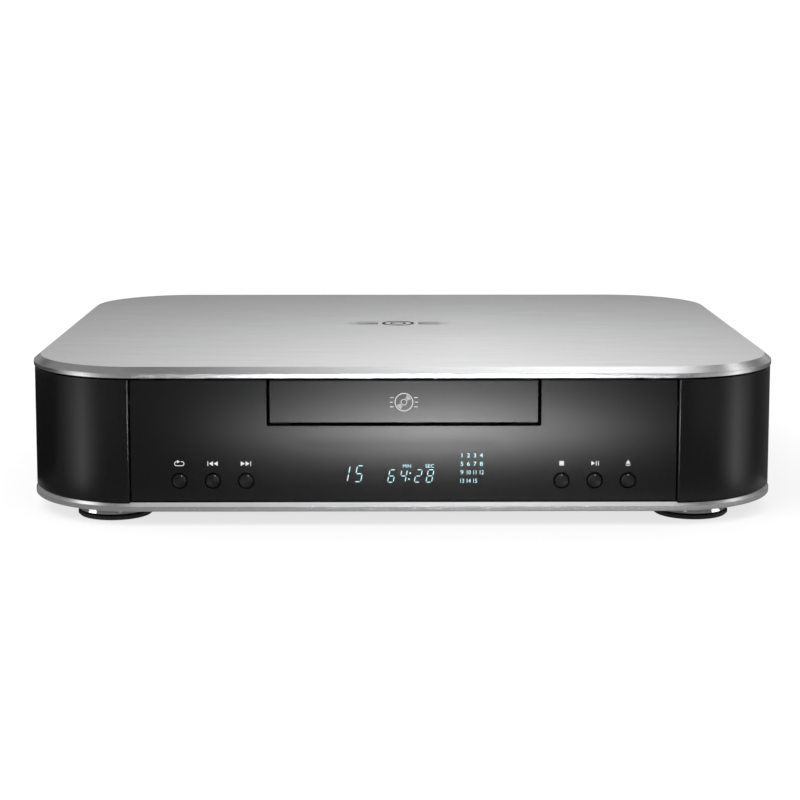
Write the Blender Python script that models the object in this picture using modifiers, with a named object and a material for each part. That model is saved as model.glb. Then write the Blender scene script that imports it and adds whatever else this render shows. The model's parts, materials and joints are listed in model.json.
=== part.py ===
"""Hi-fi CD player: brushed top and base slabs, black wrap-round shells, a flat front with a tray door.

Sizes are in millimetres and become metres where a mesh is made. The origin is on the standing
surface under the middle of the case. The front faces -Y, +X is its right-hand side, +Z is up.
"""

import math

import bmesh
import bpy
from mathutils import Matrix, Vector

MM = 0.001
GAP = 0.3  # between pieces that rest on each other

# Case: a rounded rectangle in plan, feet, base slab, body and cover slab stacked up
WIDTH, DEPTH, CORNER = 430.0, 350.0, 66.0
CORNER_STEPS = 12
FOOT_HEIGHT, BASE_THICK, BODY_HEIGHT, COVER_THICK = 8.5, 5.0, 70.0, 6.0
BODY_LOW = FOOT_HEIGHT + BASE_THICK
BODY_HIGH = BODY_LOW + BODY_HEIGHT
CHAMFER_IN, CHAMFER_DOWN = 4.0, 3.4
SHELL_INSET, SHELL_WALL, SHELL_GAP = 0.5, 3.0, 0.9
SEAM_X = 152.4
BAY_Y = 158.0  # how far forward the shells' rear return flanges reach

# Front panel
FASCIA_FRONT, FASCIA_THICK, FASCIA_HALF = -173.2, 3.0, 151.6
FASCIA_LOW, FASCIA_HIGH = BODY_LOW + 0.5, BODY_HIGH - 1.1
FASCIA_BACK = FASCIA_FRONT + FASCIA_THICK
NOTCH_HALF, NOTCH_LOW = 76.0, 56.8
WINDOW_HALF, WINDOW_LOW, WINDOW_HIGH = 53.0, 22.3, 44.1
BUTTON_X, BUTTON_Z, BUTTON_RADIUS, BUTTON_HOLE = (87.8, 106.3, 124.8), 25.6, 3.65, 4.4
BUTTON_NAMES = ("repeat", "previous", "next", "stop", "play", "eject")

# Feet
FOOT_X, FOOT_Y, FOOT_RADIUS, PAD_TOP = 165.0, 139.0, 21.5, 2.5

# Sheet chassis inside the case
CHASSIS_HALF, CHASSIS_FRONT, CHASSIS_REAR, SHEET = 145.0, -160.0, 158.0, 1.2
FLOOR = BODY_LOW + GAP + SHEET
BOARD_Z, BOARD_THICK = 22.0, 1.6

# Rear panel and what is on it
REAR_FACE, REAR_THICK = 163.0, 1.5
REAR_OUT = REAR_FACE + GAP
INLET_X, SWITCH_X, POWER_Z = -112.0, -66.0, 38.0
JACKS = {"rca_output_left": (105.0, 54.0), "rca_output_right": (105.0, 34.0), "coax_output": (75.0, 44.0)}
OPTICAL_X, OPTICAL_Z = 48.0, 44.0
ROCKER_Y, ROCKER_TILT = 161.0, 8.0

# Disc drive
DISC_Y, DISC_RADIUS = -98.0, 60.0
TRAY_HALF, TRAY_FRONT, TRAY_REAR = 68.0, -169.4, 15.0
TRAY_LOW, TRAY_HIGH, WELL_FLOOR = 71.0, 76.5, 73.0
SLOT_HALF = 22.0
DOOR_HALF, DOOR_LOW, DOOR_HIGH, DOOR_THICK = 74.6, 58.25, 82.2, 3.5
WALL_IN, WALL_OUT = 70.6, 73.6
SHELF_LOW, SHELF_HIGH = 57.0, 59.5
FRAME_FRONT, FRAME_REAR, FRAME_TOP = -166.0, 22.0, 78.6

# Tray drive: rack, drive gear, pulley gear, belt and motor, in a row behind the front panel
GEAR_MODULE, DRIVE_TEETH, PINION_TEETH = 1.5, 16, 8
GEAR_Y, GEAR_LOW, GEAR_HIGH = -146.0, 66.6, 70.2
DRIVE_X = -46.0
DRIVE_RADIUS = GEAR_MODULE * DRIVE_TEETH / 2
PULLEY_X = DRIVE_X + DRIVE_RADIUS + GEAR_MODULE * PINION_TEETH / 2
MOTOR_X = 8.0
BELT_Z, BELT_RADIUS, PULLEY_BELT, MOTOR_BELT = 63.0, 0.6, 12.2, 4.0

# Laser traverse: a plate hinged at its rear, with the spindle, two rods, the sled and its gear
PIVOT_Y, PIVOT_Z = 2.0, 62.6
PLATE_LOW, PLATE_HIGH, PLATE_HALF = 62.0, 63.2, 46.0
TURNTABLE_Z, HUB_TOP = 75.5, 77.2
ROD_X, ROD_Z, ROD_RADIUS, ROD_BORE = 22.0, 67.0, 1.5, 1.8
LENS_Y = -75.0
SLED_MODULE, SLED_TEETH, SLED_GEAR_X, SLED_GEAR_Y = 1.0, 12, 36.0, -52.0
SLED_RADIUS = SLED_MODULE * SLED_TEETH / 2

FINISHES = {  # colour, roughness, metallic
    "brushed_aluminium": ((0.72, 0.72, 0.73), 0.34, 1.0),
    "black_anodised": ((0.016, 0.016, 0.017), 0.38, 0.3),
    "black_plastic": ((0.02, 0.02, 0.021), 0.45, 0.0),
    "smoked_acrylic": ((0.008, 0.009, 0.01), 0.12, 0.0),
    "rubber": ((0.012, 0.012, 0.012), 0.8, 0.0),
    "steel": ((0.58, 0.59, 0.6), 0.35, 1.0),
    "nylon": ((0.82, 0.8, 0.74), 0.5, 0.0),
    "circuit_board": ((0.02, 0.13, 0.06), 0.5, 0.0),
    "gold_plate": ((0.83, 0.61, 0.25), 0.25, 1.0),
    "winding": ((0.36, 0.22, 0.05), 0.4, 0.2),
    "lens_glass": ((0.3, 0.25, 0.5), 0.05, 0.0),
}
FACING = {
    "up": Matrix.Identity(4),
    "front": Matrix.Rotation(math.radians(90), 4, "X"),
    "rear": Matrix.Rotation(math.radians(-90), 4, "X"),
    "side": Matrix.Rotation(math.radians(90), 4, "Y"),
}


def clear_scene():
    for obj in list(bpy.data.objects):
        bpy.data.objects.remove(obj, do_unlink=True)


def new_collection(name):
    collection = bpy.data.collections.new(name)
    bpy.context.scene.collection.children.link(collection)
    return collection


clear_scene()
PARTS = new_collection("cd_player")
CUTTERS = new_collection("cutters")


# ---------------------------------------------------------------- tools


def paint(obj, finish):
    """Gives the part a material of its own in one of the finishes."""
    colour, roughness, metallic = FINISHES[finish]
    material = bpy.data.materials.new(f"{obj.name}_{finish}")
    material.use_nodes = True
    shader = material.node_tree.nodes["Principled BSDF"]
    shader.inputs["Base Color"].default_value = (*colour, 1.0)
    shader.inputs["Roughness"].default_value = roughness
    shader.inputs["Metallic"].default_value = metallic
    obj.data.materials.append(material)


def add_object(name, data, collection, at=(0, 0, 0)):
    obj = bpy.data.objects.new(name, data)
    obj.location = Vector(at) * MM
    collection.objects.link(obj)
    return obj


def piece(name, bm, finish, origin=(0, 0, 0)):
    """Turns a bmesh drawn in place into a part whose origin is at the given point."""
    bmesh.ops.translate(bm, verts=bm.verts, vec=-Vector(origin) * MM)
    mesh = bpy.data.meshes.new(name)
    bm.to_mesh(mesh)
    bm.free()
    mesh.shade_smooth()
    mesh.set_sharp_from_angle(angle=math.radians(35))
    obj = add_object(name, mesh, PARTS, origin)
    paint(obj, finish)
    return obj


def helper(bm, name):
    """Keeps a bmesh as a hidden shape for Booleans."""
    mesh = bpy.data.meshes.new(name)
    bm.to_mesh(mesh)
    bm.free()
    obj = add_object(name, mesh, CUTTERS)
    obj.hide_render = True
    obj.display_type = "WIRE"
    return obj


def combine(obj, operation, bm):
    """Cuts a bmesh out of a part, or joins it on: operation is DIFFERENCE or UNION."""
    modifier = obj.modifiers.new(operation.lower(), "BOOLEAN")
    modifier.operation = operation
    modifier.solver = "EXACT"
    modifier.object = helper(bm, f"{obj.name}_{operation.lower()}_{len(obj.modifiers)}")


def edges_along(verts, axis):
    edges = {edge for vert in verts for edge in vert.link_edges}
    return [e for e in edges if abs((e.verts[0].co - e.verts[1].co).normalized()[axis]) > 0.99]


def block(bm, low, high, radius=0.0, steps=3, axis=2):
    """Adds a box between two corners, its edges along one axis rounded when a radius is given."""
    low, high = Vector(low) * MM, Vector(high) * MM
    matrix = Matrix.Translation((low + high) / 2) @ Matrix.Diagonal((*(high - low), 1))
    verts = bmesh.ops.create_cube(bm, size=1, matrix=matrix)["verts"]
    if radius:
        edges = edges_along(verts, axis)
        bmesh.ops.bevel(bm, geom=edges, offset=radius * MM, segments=steps, profile=0.5, affect="EDGES")
    return bm


def blocks(*corners):
    bm = bmesh.new()
    for low, high in corners:
        block(bm, low, high)
    return bm


def rod(bm, centre, radius, length, facing="up", steps=12):
    matrix = Matrix.Translation(Vector(centre) * MM) @ FACING[facing]
    bmesh.ops.create_cone(
        bm, cap_ends=True, segments=steps, radius1=radius * MM, radius2=radius * MM,
        depth=length * MM, matrix=matrix,
    )
    return bm


def bevel_rim(bm, height, offset, steps):
    """Bevels the edges that run round a slab at one height."""
    rim = [e for e in bm.edges if all(abs(v.co.z - height * MM) < 1e-6 for v in e.verts)]
    bmesh.ops.bevel(bm, geom=rim, offset=offset * MM, segments=steps, profile=0.5, affect="EDGES")


def slab(low, high):
    """The case's outline in plan, between two heights."""
    corners = (-WIDTH / 2, -DEPTH / 2, low), (WIDTH / 2, DEPTH / 2, high)
    return block(bmesh.new(), *corners, radius=CORNER, steps=CORNER_STEPS)


def turned(name, profile, finish, at, facing="up", steps=16, ring=False):
    """Revolves (radius, height) points, listed down the outer side; a ring profile closes on itself."""
    points = [(r * MM, 0, z * MM) for r, z in profile]
    edges = [(i, i + 1) for i in range(len(points) - 1)]
    if ring:
        edges.append((len(points) - 1, 0))
    mesh = bpy.data.meshes.new(name)
    mesh.from_pydata(points, edges, [])
    obj = add_object(name, mesh, PARTS, at)
    obj.rotation_euler = FACING[facing].to_euler()
    screw = obj.modifiers.new("turn", "SCREW")
    screw.steps = screw.render_steps = steps
    screw.use_merge_vertices = True
    screw.merge_threshold = 0.00001
    screw.use_smooth_shade = True
    paint(obj, finish)
    return obj


def folded(name, path, sweep, thickness, finish):
    """A sheet that follows a path, swept along a vector and thickened to the left of its travel."""
    bm = bmesh.new()
    verts = [bm.verts.new(Vector(point) * MM) for point in path]
    edges = [bm.edges.new(pair) for pair in zip(verts, verts[1:])]
    made = bmesh.ops.extrude_edge_only(bm, edges=edges)["geom"]
    moved = [item for item in made if isinstance(item, bmesh.types.BMVert)]
    bmesh.ops.translate(bm, verts=moved, vec=Vector(sweep) * MM)
    obj = piece(name, bm, finish)
    solid = obj.modifiers.new("wall", "SOLIDIFY")
    solid.thickness = abs(thickness) * MM
    solid.offset = math.copysign(1.0, thickness)
    solid.use_even_offset = True
    return obj


def flat(outlines, low, high, at=(0.0, 0.0)):
    """A closed bmesh of flat outlines in plan, inner ones as holes, between two heights."""
    curve = bpy.data.curves.new("outline", "CURVE")
    curve.dimensions, curve.fill_mode = "2D", "BOTH"
    curve.extrude = (high - low) * MM / 2
    for outline in outlines:
        spline = curve.splines.new("POLY")
        spline.points.add(len(outline) - 1)
        for point, (x, y) in zip(spline.points, outline):
            point.co = (x * MM, y * MM, 0, 1)
        spline.use_cyclic_u = True
    guide = add_object("outline", curve, CUTTERS)
    bpy.context.view_layer.update()
    mesh = bpy.data.meshes.new_from_object(guide.evaluated_get(bpy.context.evaluated_depsgraph_get()))
    bpy.data.objects.remove(guide, do_unlink=True)
    bm = bmesh.new()
    bm.from_mesh(mesh)
    bmesh.ops.remove_doubles(bm, verts=bm.verts, dist=1e-6)
    bmesh.ops.translate(bm, verts=bm.verts, vec=Vector((*at, (low + high) / 2)) * MM)
    return bm


def tooth(module):
    """Offsets of one tooth's four corners from its centre line: (along the pitch, outwards)."""
    tip, root, half = 0.75 * module, -1.0 * module, 0.66 * module
    slope = math.tan(math.radians(22))
    return ((-half + root * slope, root), (-half + tip * slope, tip),
            (half - tip * slope, tip), (half - root * slope, root))


def gear_outline(teeth, module, first):
    """Gear outline with straight-sided teeth, the first one centred at an angle in degrees."""
    pitch = module * teeth / 2
    points = []
    for n in range(teeth):
        centre = math.radians(first) - 2 * math.pi * n / teeth
        for along, out in tooth(module):
            angle, radius = centre - along / pitch, pitch + out
            points.append((radius * math.cos(angle), radius * math.sin(angle)))
    return points


def rack_outline(module, back_x, pitch_x, gap_y, low_y, high_y):
    """Rack outline with teeth towards +X, a gap centred on one point of its length."""
    pitch = math.pi * module
    first = math.ceil((low_y - gap_y) / pitch)
    last = math.floor((high_y - gap_y) / pitch)
    points = [(back_x, gap_y + first * pitch), (back_x, gap_y + last * pitch)]
    for n in range(last - 1, first - 1, -1):
        centre = gap_y + (n + 0.5) * pitch
        points += [(pitch_x + out, centre - along) for along, out in tooth(module)]
    return points


# ---------------------------------------------------------------- case


def vent_slots():
    """Cooling slots through the base and the chassis floor, under the transformer and the boards."""
    bm = bmesh.new()
    for middle_x, middle_y in ((-108.0, 0.0), (60.0, 100.0)):
        for n in range(-2, 3):
            x = middle_x + 11.0 * n
            block(bm, (x - 2.0, middle_y - 22.0, 0.0), (x + 2.0, middle_y + 22.0, 18.0), 1.9, 2)
    return bm


def make_slabs():
    base = slab(FOOT_HEIGHT, BODY_LOW)
    bevel_rim(base, BODY_LOW, 2.0, 3)
    bevel_rim(base, FOOT_HEIGHT, 1.0, 1)
    combine(piece("base_plate", base, "brushed_aluminium"), "DIFFERENCE", vent_slots())

    stretch = CHAMFER_IN / CHAMFER_DOWN  # the chamfer is cut at 45 degrees, then flattened
    cover = slab(0.0, COVER_THICK * stretch)
    bevel_rim(cover, COVER_THICK * stretch, CHAMFER_IN, 1)
    bmesh.ops.scale(cover, vec=(1, 1, 1 / stretch), verts=cover.verts)
    bevel_rim(cover, 0.0, 0.6, 1)
    bmesh.ops.translate(cover, verts=cover.verts, vec=(0, 0, BODY_HIGH * MM))
    piece("top_cover", cover, "brushed_aluminium")


def shell_path(side):
    """Outer face of one shell, from its front seam round both corners to its rear return flange."""
    radius = CORNER - SHELL_INSET
    centre_x, centre_y = WIDTH / 2 - CORNER, DEPTH / 2 - CORNER
    short = math.asin((SEAM_X - centre_x) / radius)
    sweep = math.pi / 2 - short
    points = []
    for middle_y, start in ((-centre_y, short - math.pi / 2), (centre_y, 0.0)):
        for n in range(CORNER_STEPS + 1):
            angle = start + sweep * n / CORNER_STEPS
            points.append((side * (centre_x + radius * math.cos(angle)), middle_y + radius * math.sin(angle)))
    points.append((side * SEAM_X, BAY_Y))
    return points


def make_shells():
    low, high = BODY_LOW + 0.4, BODY_HIGH - SHELL_GAP
    for name, side in (("left_shell", -1), ("right_shell", 1)):
        path = [(x, y, low) for x, y in shell_path(side)]
        folded(name, path, (0, 0, high - low), side * SHELL_WALL, "black_anodised")


def make_front():
    fascia = block(bmesh.new(), (-FASCIA_HALF, FASCIA_FRONT, FASCIA_LOW), (FASCIA_HALF, FASCIA_BACK, FASCIA_HIGH))
    fascia = piece("front_fascia", fascia, "black_anodised")
    front, back = FASCIA_FRONT - 2, FASCIA_BACK + 2
    cuts = blocks(
        ((-NOTCH_HALF, front, NOTCH_LOW), (NOTCH_HALF, back, BODY_HIGH + 5)),
        ((-WINDOW_HALF - GAP, front, WINDOW_LOW - GAP), (WINDOW_HALF + GAP, back, WINDOW_HIGH + GAP)),
    )
    for x in BUTTON_X:
        for side in (-1, 1):
            rod(cuts, (side * x, FASCIA_FRONT, BUTTON_Z), BUTTON_HOLE, 12, "front", 20)
    combine(fascia, "DIFFERENCE", cuts)
    window = block(bmesh.new(), (-WINDOW_HALF, FASCIA_FRONT, WINDOW_LOW), (WINDOW_HALF, FASCIA_BACK - 0.4, WINDOW_HIGH))
    piece("display_window", window, "smoked_acrylic")


def make_buttons():
    """Caps held behind the panel by a flange, each over a switch on a small board."""
    flange = FASCIA_FRONT - FASCIA_BACK - GAP
    profile = [(0, 0.35), (3.4, 0.35), (BUTTON_RADIUS, 0.1), (BUTTON_RADIUS, flange),
               (5.0, flange), (5.0, -4.6), (0, -4.6)]
    places = [-x for x in reversed(BUTTON_X)] + list(BUTTON_X)
    for name, x in zip(BUTTON_NAMES, places):
        turned(f"button_{name}", profile, "black_anodised", (x, FASCIA_FRONT, BUTTON_Z), "front")
    for name, side in (("key_board_left", -1), ("key_board_right", 1)):
        ends = sorted((side * 79.0, side * 134.0))
        board = piece(name, blocks(((ends[0], -164.4, 17.0), (ends[1], -162.8, 34.0))), "circuit_board")
        switches = [side * x for x in BUTTON_X]
        combine(board, "UNION", blocks(*(
            ((x - 3, -167.4, BUTTON_Z - 3), (x + 3, -164.0, BUTTON_Z + 3)) for x in switches
        )))


def make_display():
    module = piece("display_module", blocks(((-60, -160.4, 17), (60, -158.8, 48))), "circuit_board")
    combine(module, "UNION", blocks(((-50, -168.8, 23), (50, -160.0, 43.4))))


def make_chassis():
    """Folded floor and side walls, with pressed-in pillars for the boards."""
    low, high = FLOOR - SHEET, 62.0
    path = [(-CHASSIS_HALF, high), (-CHASSIS_HALF, low), (CHASSIS_HALF, low), (CHASSIS_HALF, high)]
    path = [(x, CHASSIS_FRONT, z) for x, z in path]
    chassis = folded("chassis", path, (0, CHASSIS_REAR - CHASSIS_FRONT, 0), -SHEET, "steel")
    pillars = bmesh.new()
    for x in (-134, -50, -32, 134):
        for y in (66, 146):
            height = BOARD_Z - GAP - FLOOR + 0.4
            rod(pillars, (x, y, FLOOR - 0.4 + height / 2), 3.0, height, steps=8)
    combine(chassis, "UNION", pillars)
    combine(chassis, "DIFFERENCE", vent_slots())


def make_feet():
    ring = [(2.4, FOOT_HEIGHT - GAP), (FOOT_RADIUS - 0.4, FOOT_HEIGHT - GAP), (FOOT_RADIUS, FOOT_HEIGHT - 0.8),
            (FOOT_RADIUS, PAD_TOP + 0.9), (FOOT_RADIUS - 0.6, PAD_TOP + GAP), (2.4, PAD_TOP + GAP)]
    pad = [(0, PAD_TOP), (FOOT_RADIUS - 0.9, PAD_TOP), (FOOT_RADIUS - 0.5, 1.6), (FOOT_RADIUS - 2.0, 0), (0, 0)]
    for end, y in (("front", -FOOT_Y), ("rear", FOOT_Y)):
        for side, x in (("left", -FOOT_X), ("right", FOOT_X)):
            turned(f"foot_ring_{end}_{side}", ring, "brushed_aluminium", (x, y, 0), steps=24, ring=True)
            turned(f"foot_pad_{end}_{side}", pad, "rubber", (x, y, 0), steps=24)
            length = BODY_HEIGHT - 2 * GAP
            post = rod(bmesh.new(), (math.copysign(180, x), math.copysign(128, y), BODY_LOW + BODY_HEIGHT / 2),
                       5.0, length, steps=6)
            piece(f"corner_post_{end}_{side}", post, "steel")


# ---------------------------------------------------------------- rear panel


def make_rear_panel():
    panel = blocks(((0.4 - SEAM_X, REAR_FACE - REAR_THICK, FASCIA_LOW), (SEAM_X - 0.4, REAR_FACE, FASCIA_HIGH)))
    panel = piece("rear_panel", panel, "black_anodised")
    low, high = REAR_FACE - 10, REAR_FACE + 10
    cuts = blocks(
        ((INLET_X - 14, low, POWER_Z - 10.3), (INLET_X + 14, high, POWER_Z + 10.3)),
        ((SWITCH_X - 13.8, low, POWER_Z - 9.8), (SWITCH_X + 13.8, high, POWER_Z + 9.8)),
        ((OPTICAL_X - 5.3, low, OPTICAL_Z - 5.3), (OPTICAL_X + 5.3, high, OPTICAL_Z + 5.3)),
    )
    for x, z in JACKS.values():
        rod(cuts, (x, REAR_FACE, z), 5.0, 20, "front", 16)
    combine(panel, "DIFFERENCE", cuts)


def socket_body(name, x, z, flange, neck, back_y, flange_thick, finish):
    """A flange outside the panel on a neck that passes through it; flange and neck are half sizes."""
    body = block(bmesh.new(), (x - flange[0], REAR_OUT, z - flange[1]),
                 (x + flange[0], REAR_OUT + flange_thick, z + flange[1]), 1.5, 3, 1)
    body = piece(name, body, finish)
    combine(body, "UNION", blocks(
        ((x - neck[0], back_y, z - neck[1]), (x + neck[0], REAR_OUT + 0.5, z + neck[1])),
    ))
    return body


def make_inlet():
    """Three-pin mains inlet, its pins short of the mouth."""
    inlet = socket_body("power_inlet", INLET_X, POWER_Z, (25, 13), (13.6, 9.9), 140, 2.2, "black_plastic")
    combine(inlet, "DIFFERENCE", block(
        bmesh.new(), (INLET_X - 12, 148.5, POWER_Z - 8), (INLET_X + 12, REAR_OUT + 5, POWER_Z + 8), 2.0, 2, 1))
    combine(inlet, "UNION", blocks(*(
        ((INLET_X + x - 1, 147.5, POWER_Z + z - 2), (INLET_X + x + 1, 160.0, POWER_Z + z + 2))
        for x, z in ((-7, -1.5), (0, 2.5), (7, -1.5))
    )))


def make_power_switch():
    """Rocker switch; the rocker's origin is its pivot and it rests with one side pressed in."""
    housing = socket_body("power_switch", SWITCH_X, POWER_Z, (16, 11.5), (13.4, 9.4), 145, 1.8, "black_plastic")
    combine(housing, "DIFFERENCE", blocks(
        ((SWITCH_X - 10.6, ROCKER_Y - 2.8, POWER_Z - 6.4), (SWITCH_X + 10.6, REAR_OUT + 5, POWER_Z + 6.4)),
    ))
    outline = [(-9.4, 5.4), (-7.5, -1.0), (7.5, -1.0), (9.4, 5.4), (0.0, 4.0)]
    rocker = piece("power_rocker", flat([outline], -6.0, 6.0), "black_plastic")
    rocker.location = Vector((SWITCH_X, ROCKER_Y, POWER_Z)) * MM
    rocker.rotation_euler.z = math.radians(ROCKER_TILT)


def make_jacks():
    """Phono sockets: insulator behind the panel, nut outside it, plated barrel with a pin hole."""
    back, panel, out = -11.0, -REAR_THICK - GAP, GAP
    profile = [(1.7, 9.5), (3.7, 9.5), (4.1, 9.1), (4.1, out + 1.6), (6.4, out + 1.6), (6.4, out),
               (4.6, out), (4.6, panel), (6.2, panel), (6.2, back), (0, back), (0, 1.5), (1.7, 1.5)]
    for name, (x, z) in JACKS.items():
        turned(name, profile, "gold_plate", (x, REAR_FACE, z), "rear", ring=True)
    optical = socket_body("optical_output", OPTICAL_X, OPTICAL_Z, (6.5, 6.5), (5, 5), 150, 1.2, "black_plastic")
    combine(optical, "DIFFERENCE", blocks(
        ((OPTICAL_X - 2.8, 157, OPTICAL_Z - 2.8), (OPTICAL_X + 2.8, REAR_OUT + 5, OPTICAL_Z + 2.8)),
    ))


# ---------------------------------------------------------------- tray loader


def make_tray():
    origin = (0, DISC_Y, TRAY_LOW)
    tray = block(bmesh.new(), (-TRAY_HALF, TRAY_FRONT, TRAY_LOW), (TRAY_HALF, TRAY_REAR, TRAY_HIGH), 4, 2)
    tray = piece("disc_tray", tray, "black_plastic", origin)
    rack = rack_outline(GEAR_MODULE, DRIVE_X - DRIVE_RADIUS - 5, DRIVE_X - DRIVE_RADIUS, GEAR_Y, -156, 4)
    combine(tray, "UNION", flat([rack], GEAR_LOW + 0.1, TRAY_LOW + 0.4))
    well_depth = 10.0
    combine(tray, "DIFFERENCE", rod(
        bmesh.new(), (0, DISC_Y, WELL_FLOOR + well_depth / 2), DISC_RADIUS + 1.5, well_depth, steps=64))
    combine(tray, "DIFFERENCE", block(
        bmesh.new(), (-SLOT_HALF, DISC_Y - SLOT_HALF, TRAY_LOW - 2), (SLOT_HALF, TRAY_REAR + 40, TRAY_HIGH + 2),
        SLOT_HALF - 0.1, 8))

    back = FASCIA_FRONT + DOOR_THICK
    door = piece("tray_door", blocks(((-DOOR_HALF, FASCIA_FRONT, DOOR_LOW), (DOOR_HALF, back, DOOR_HIGH))),
                 "black_anodised", (0, FASCIA_FRONT, DOOR_LOW))
    combine(door, "UNION", blocks(((-60, back - 0.5, 61), (60, back + 2.1, 64))))


def sided(side, near, far):
    """Lowest and highest X of a stretch given by its distances from the middle, on one side."""
    return sorted((side * near, side * far))


def make_loader_frame():
    """Two walls with tray ledges and hooks, a shelf for the gears, a rear beam and four legs."""
    frame = piece("loader_frame", blocks(
        ((-WALL_IN - 0.2, FRAME_FRONT + 0.4, SHELF_LOW), (WALL_IN + 0.2, -130.0, SHELF_HIGH))), "black_plastic")
    walls, fittings, legs = bmesh.new(), bmesh.new(), bmesh.new()
    rod(fittings, (DRIVE_X, GEAR_Y, 65.0), 1.7, 11.4)
    rod(fittings, (PULLEY_X, GEAR_Y, 65.0), 1.7, 11.4)
    block(fittings, (-WALL_IN - 0.3, FRAME_REAR - 4, 58), (WALL_IN + 0.3, FRAME_REAR - 0.5, FRAME_TOP - 1))
    for side in (-1, 1):
        x = sided(side, WALL_IN, WALL_OUT)
        block(walls, (x[0], FRAME_FRONT, SHELF_LOW - 0.5), (x[1], FRAME_REAR, FRAME_TOP))
        x = sided(side, 64.6, WALL_IN + 0.4)
        block(fittings, (x[0], -160, 68.5), (x[1], TRAY_REAR, TRAY_LOW - 0.4))
        x = sided(side, 66.2, WALL_IN + 0.5)
        block(fittings, (x[0], -164, TRAY_HIGH + 0.7), (x[1], -154, FRAME_TOP - 0.2))
        x = sided(side, 64, 72)
        block(legs, (x[0], -165, FLOOR + GAP), (x[1], -157, SHELF_LOW + 0.4))
        block(legs, (x[0], 13, FLOOR + GAP), (x[1], 21, SHELF_LOW + 1.4))
    for group in (walls, fittings, legs):
        combine(frame, "UNION", group)
    holes = rod(bmesh.new(), (MOTOR_X, GEAR_Y, SHELF_LOW), 3.0, 12)
    rod(holes, (0, PIVOT_Y, PIVOT_Z), 2.3, 2 * WALL_OUT + 10, "side")
    combine(frame, "DIFFERENCE", holes)


def make_gears():
    """Drive gear in mesh with the rack, pulley gear in mesh with the drive gear, both at rest."""
    teeth = gear_outline(DRIVE_TEETH, GEAR_MODULE, 180)
    drive = piece("drive_gear", flat([teeth], GEAR_LOW, GEAR_HIGH, (DRIVE_X, GEAR_Y)), "nylon",
                  (DRIVE_X, GEAR_Y, GEAR_LOW))
    combine(drive, "DIFFERENCE", rod(bmesh.new(), (DRIVE_X, GEAR_Y, GEAR_LOW), 2.0, 20))

    pulley = [(0, 66.9), (4.2, 66.9), (4.2, 65.4), (13, 65.4), (13, 64.3), (11.2, 64.0),
              (11.2, 62.0), (13, 61.7), (13, 60.6), (0, 60.6)]
    pulley = turned("pulley_gear", pulley, "nylon", (PULLEY_X, GEAR_Y, 0), steps=24)
    teeth = gear_outline(PINION_TEETH, GEAR_MODULE, 180 + 180 / PINION_TEETH)
    combine(pulley, "UNION", flat([teeth], GEAR_LOW, GEAR_HIGH, (PULLEY_X, GEAR_Y)))
    combine(pulley, "DIFFERENCE", rod(bmesh.new(), (PULLEY_X, GEAR_Y, GEAR_LOW), 2.0, 20))

    profile = [(0, 65.4), (4.6, 65.4), (4.6, 64.3), (3.0, 64.0), (3.0, 62.0), (4.6, 61.7),
               (4.6, 60.6), (1.0, 60.4), (1.0, 42), (0, 42)]
    turned("motor_pulley", profile, "steel", (MOTOR_X, GEAR_Y, 0), steps=12)
    profile = [(1.3, 56.7), (9.5, 56.7), (10, 56.2), (10, 38.5), (9.5, 38), (1.3, 38)]
    turned("loader_motor", profile, "steel", (MOTOR_X, GEAR_Y, 0), steps=20, ring=True)


def make_belt():
    """Round belt on both pulleys: two arcs and the straight runs between them."""
    lean = math.acos((PULLEY_BELT - MOTOR_BELT) / (MOTOR_X - PULLEY_X))
    points = []
    for centre, radius, start, end, steps in (
        (MOTOR_X, MOTOR_BELT, -lean, lean, 6),
        (PULLEY_X, PULLEY_BELT, lean, 2 * math.pi - lean, 20),
    ):
        for n in range(steps + 1):
            angle = start + (end - start) * n / steps
            points.append((centre + radius * math.cos(angle), radius * math.sin(angle)))
    curve = bpy.data.curves.new("loader_belt", "CURVE")
    curve.dimensions = "3D"
    curve.bevel_depth, curve.bevel_resolution = BELT_RADIUS * MM, 1
    spline = curve.splines.new("POLY")
    spline.points.add(len(points) - 1)
    for point, (x, y) in zip(spline.points, points):
        point.co = (x * MM, y * MM, 0, 1)
    spline.use_cyclic_u = True
    paint(add_object("loader_belt", curve, PARTS, (0, GEAR_Y, BELT_Z)), "rubber")


# ---------------------------------------------------------------- laser traverse and clamp


def make_traverse():
    """Hinged plate: rear pins in the frame's walls, four rod holders, a window under the sled."""
    plate = block(bmesh.new(), (-PLATE_HALF, -118, PLATE_LOW), (PLATE_HALF, 5, PLATE_HIGH), 5, 2)
    plate = piece("traverse_plate", plate, "steel", (0, PIVOT_Y, PIVOT_Z))
    fittings = bmesh.new()
    for side in (-1, 1):
        rod(fittings, (side * (PLATE_HALF + 72.4 - 4) / 2, PIVOT_Y, PIVOT_Z), 2.0, 72.4 - PLATE_HALF + 4, "side")
        x = side * ROD_X
        for y in (-93, -15):
            block(fittings, (x - 3.5, y, PLATE_LOW + 0.4), (x + 3.5, y + 4, 70))
    combine(plate, "UNION", fittings)
    holes = rod(bmesh.new(), (0, DISC_Y, PLATE_LOW), 4.0, 12)
    rod(holes, (SLED_GEAR_X, SLED_GEAR_Y, PLATE_LOW), 2.2, 8)
    block(holes, (-17, -85, PLATE_LOW - 3), (17, -20, PLATE_HIGH + 3), 4, 2)
    for side in (-1, 1):
        rod(holes, (side * ROD_X, -53, ROD_Z), ROD_BORE, 100, "front")
    combine(plate, "DIFFERENCE", holes)
    for name, side in (("guide_rod_left", -1), ("guide_rod_right", 1)):
        piece(name, rod(bmesh.new(), (side * ROD_X, -52, ROD_Z), ROD_RADIUS, 81, "front", 10), "steel")


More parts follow.
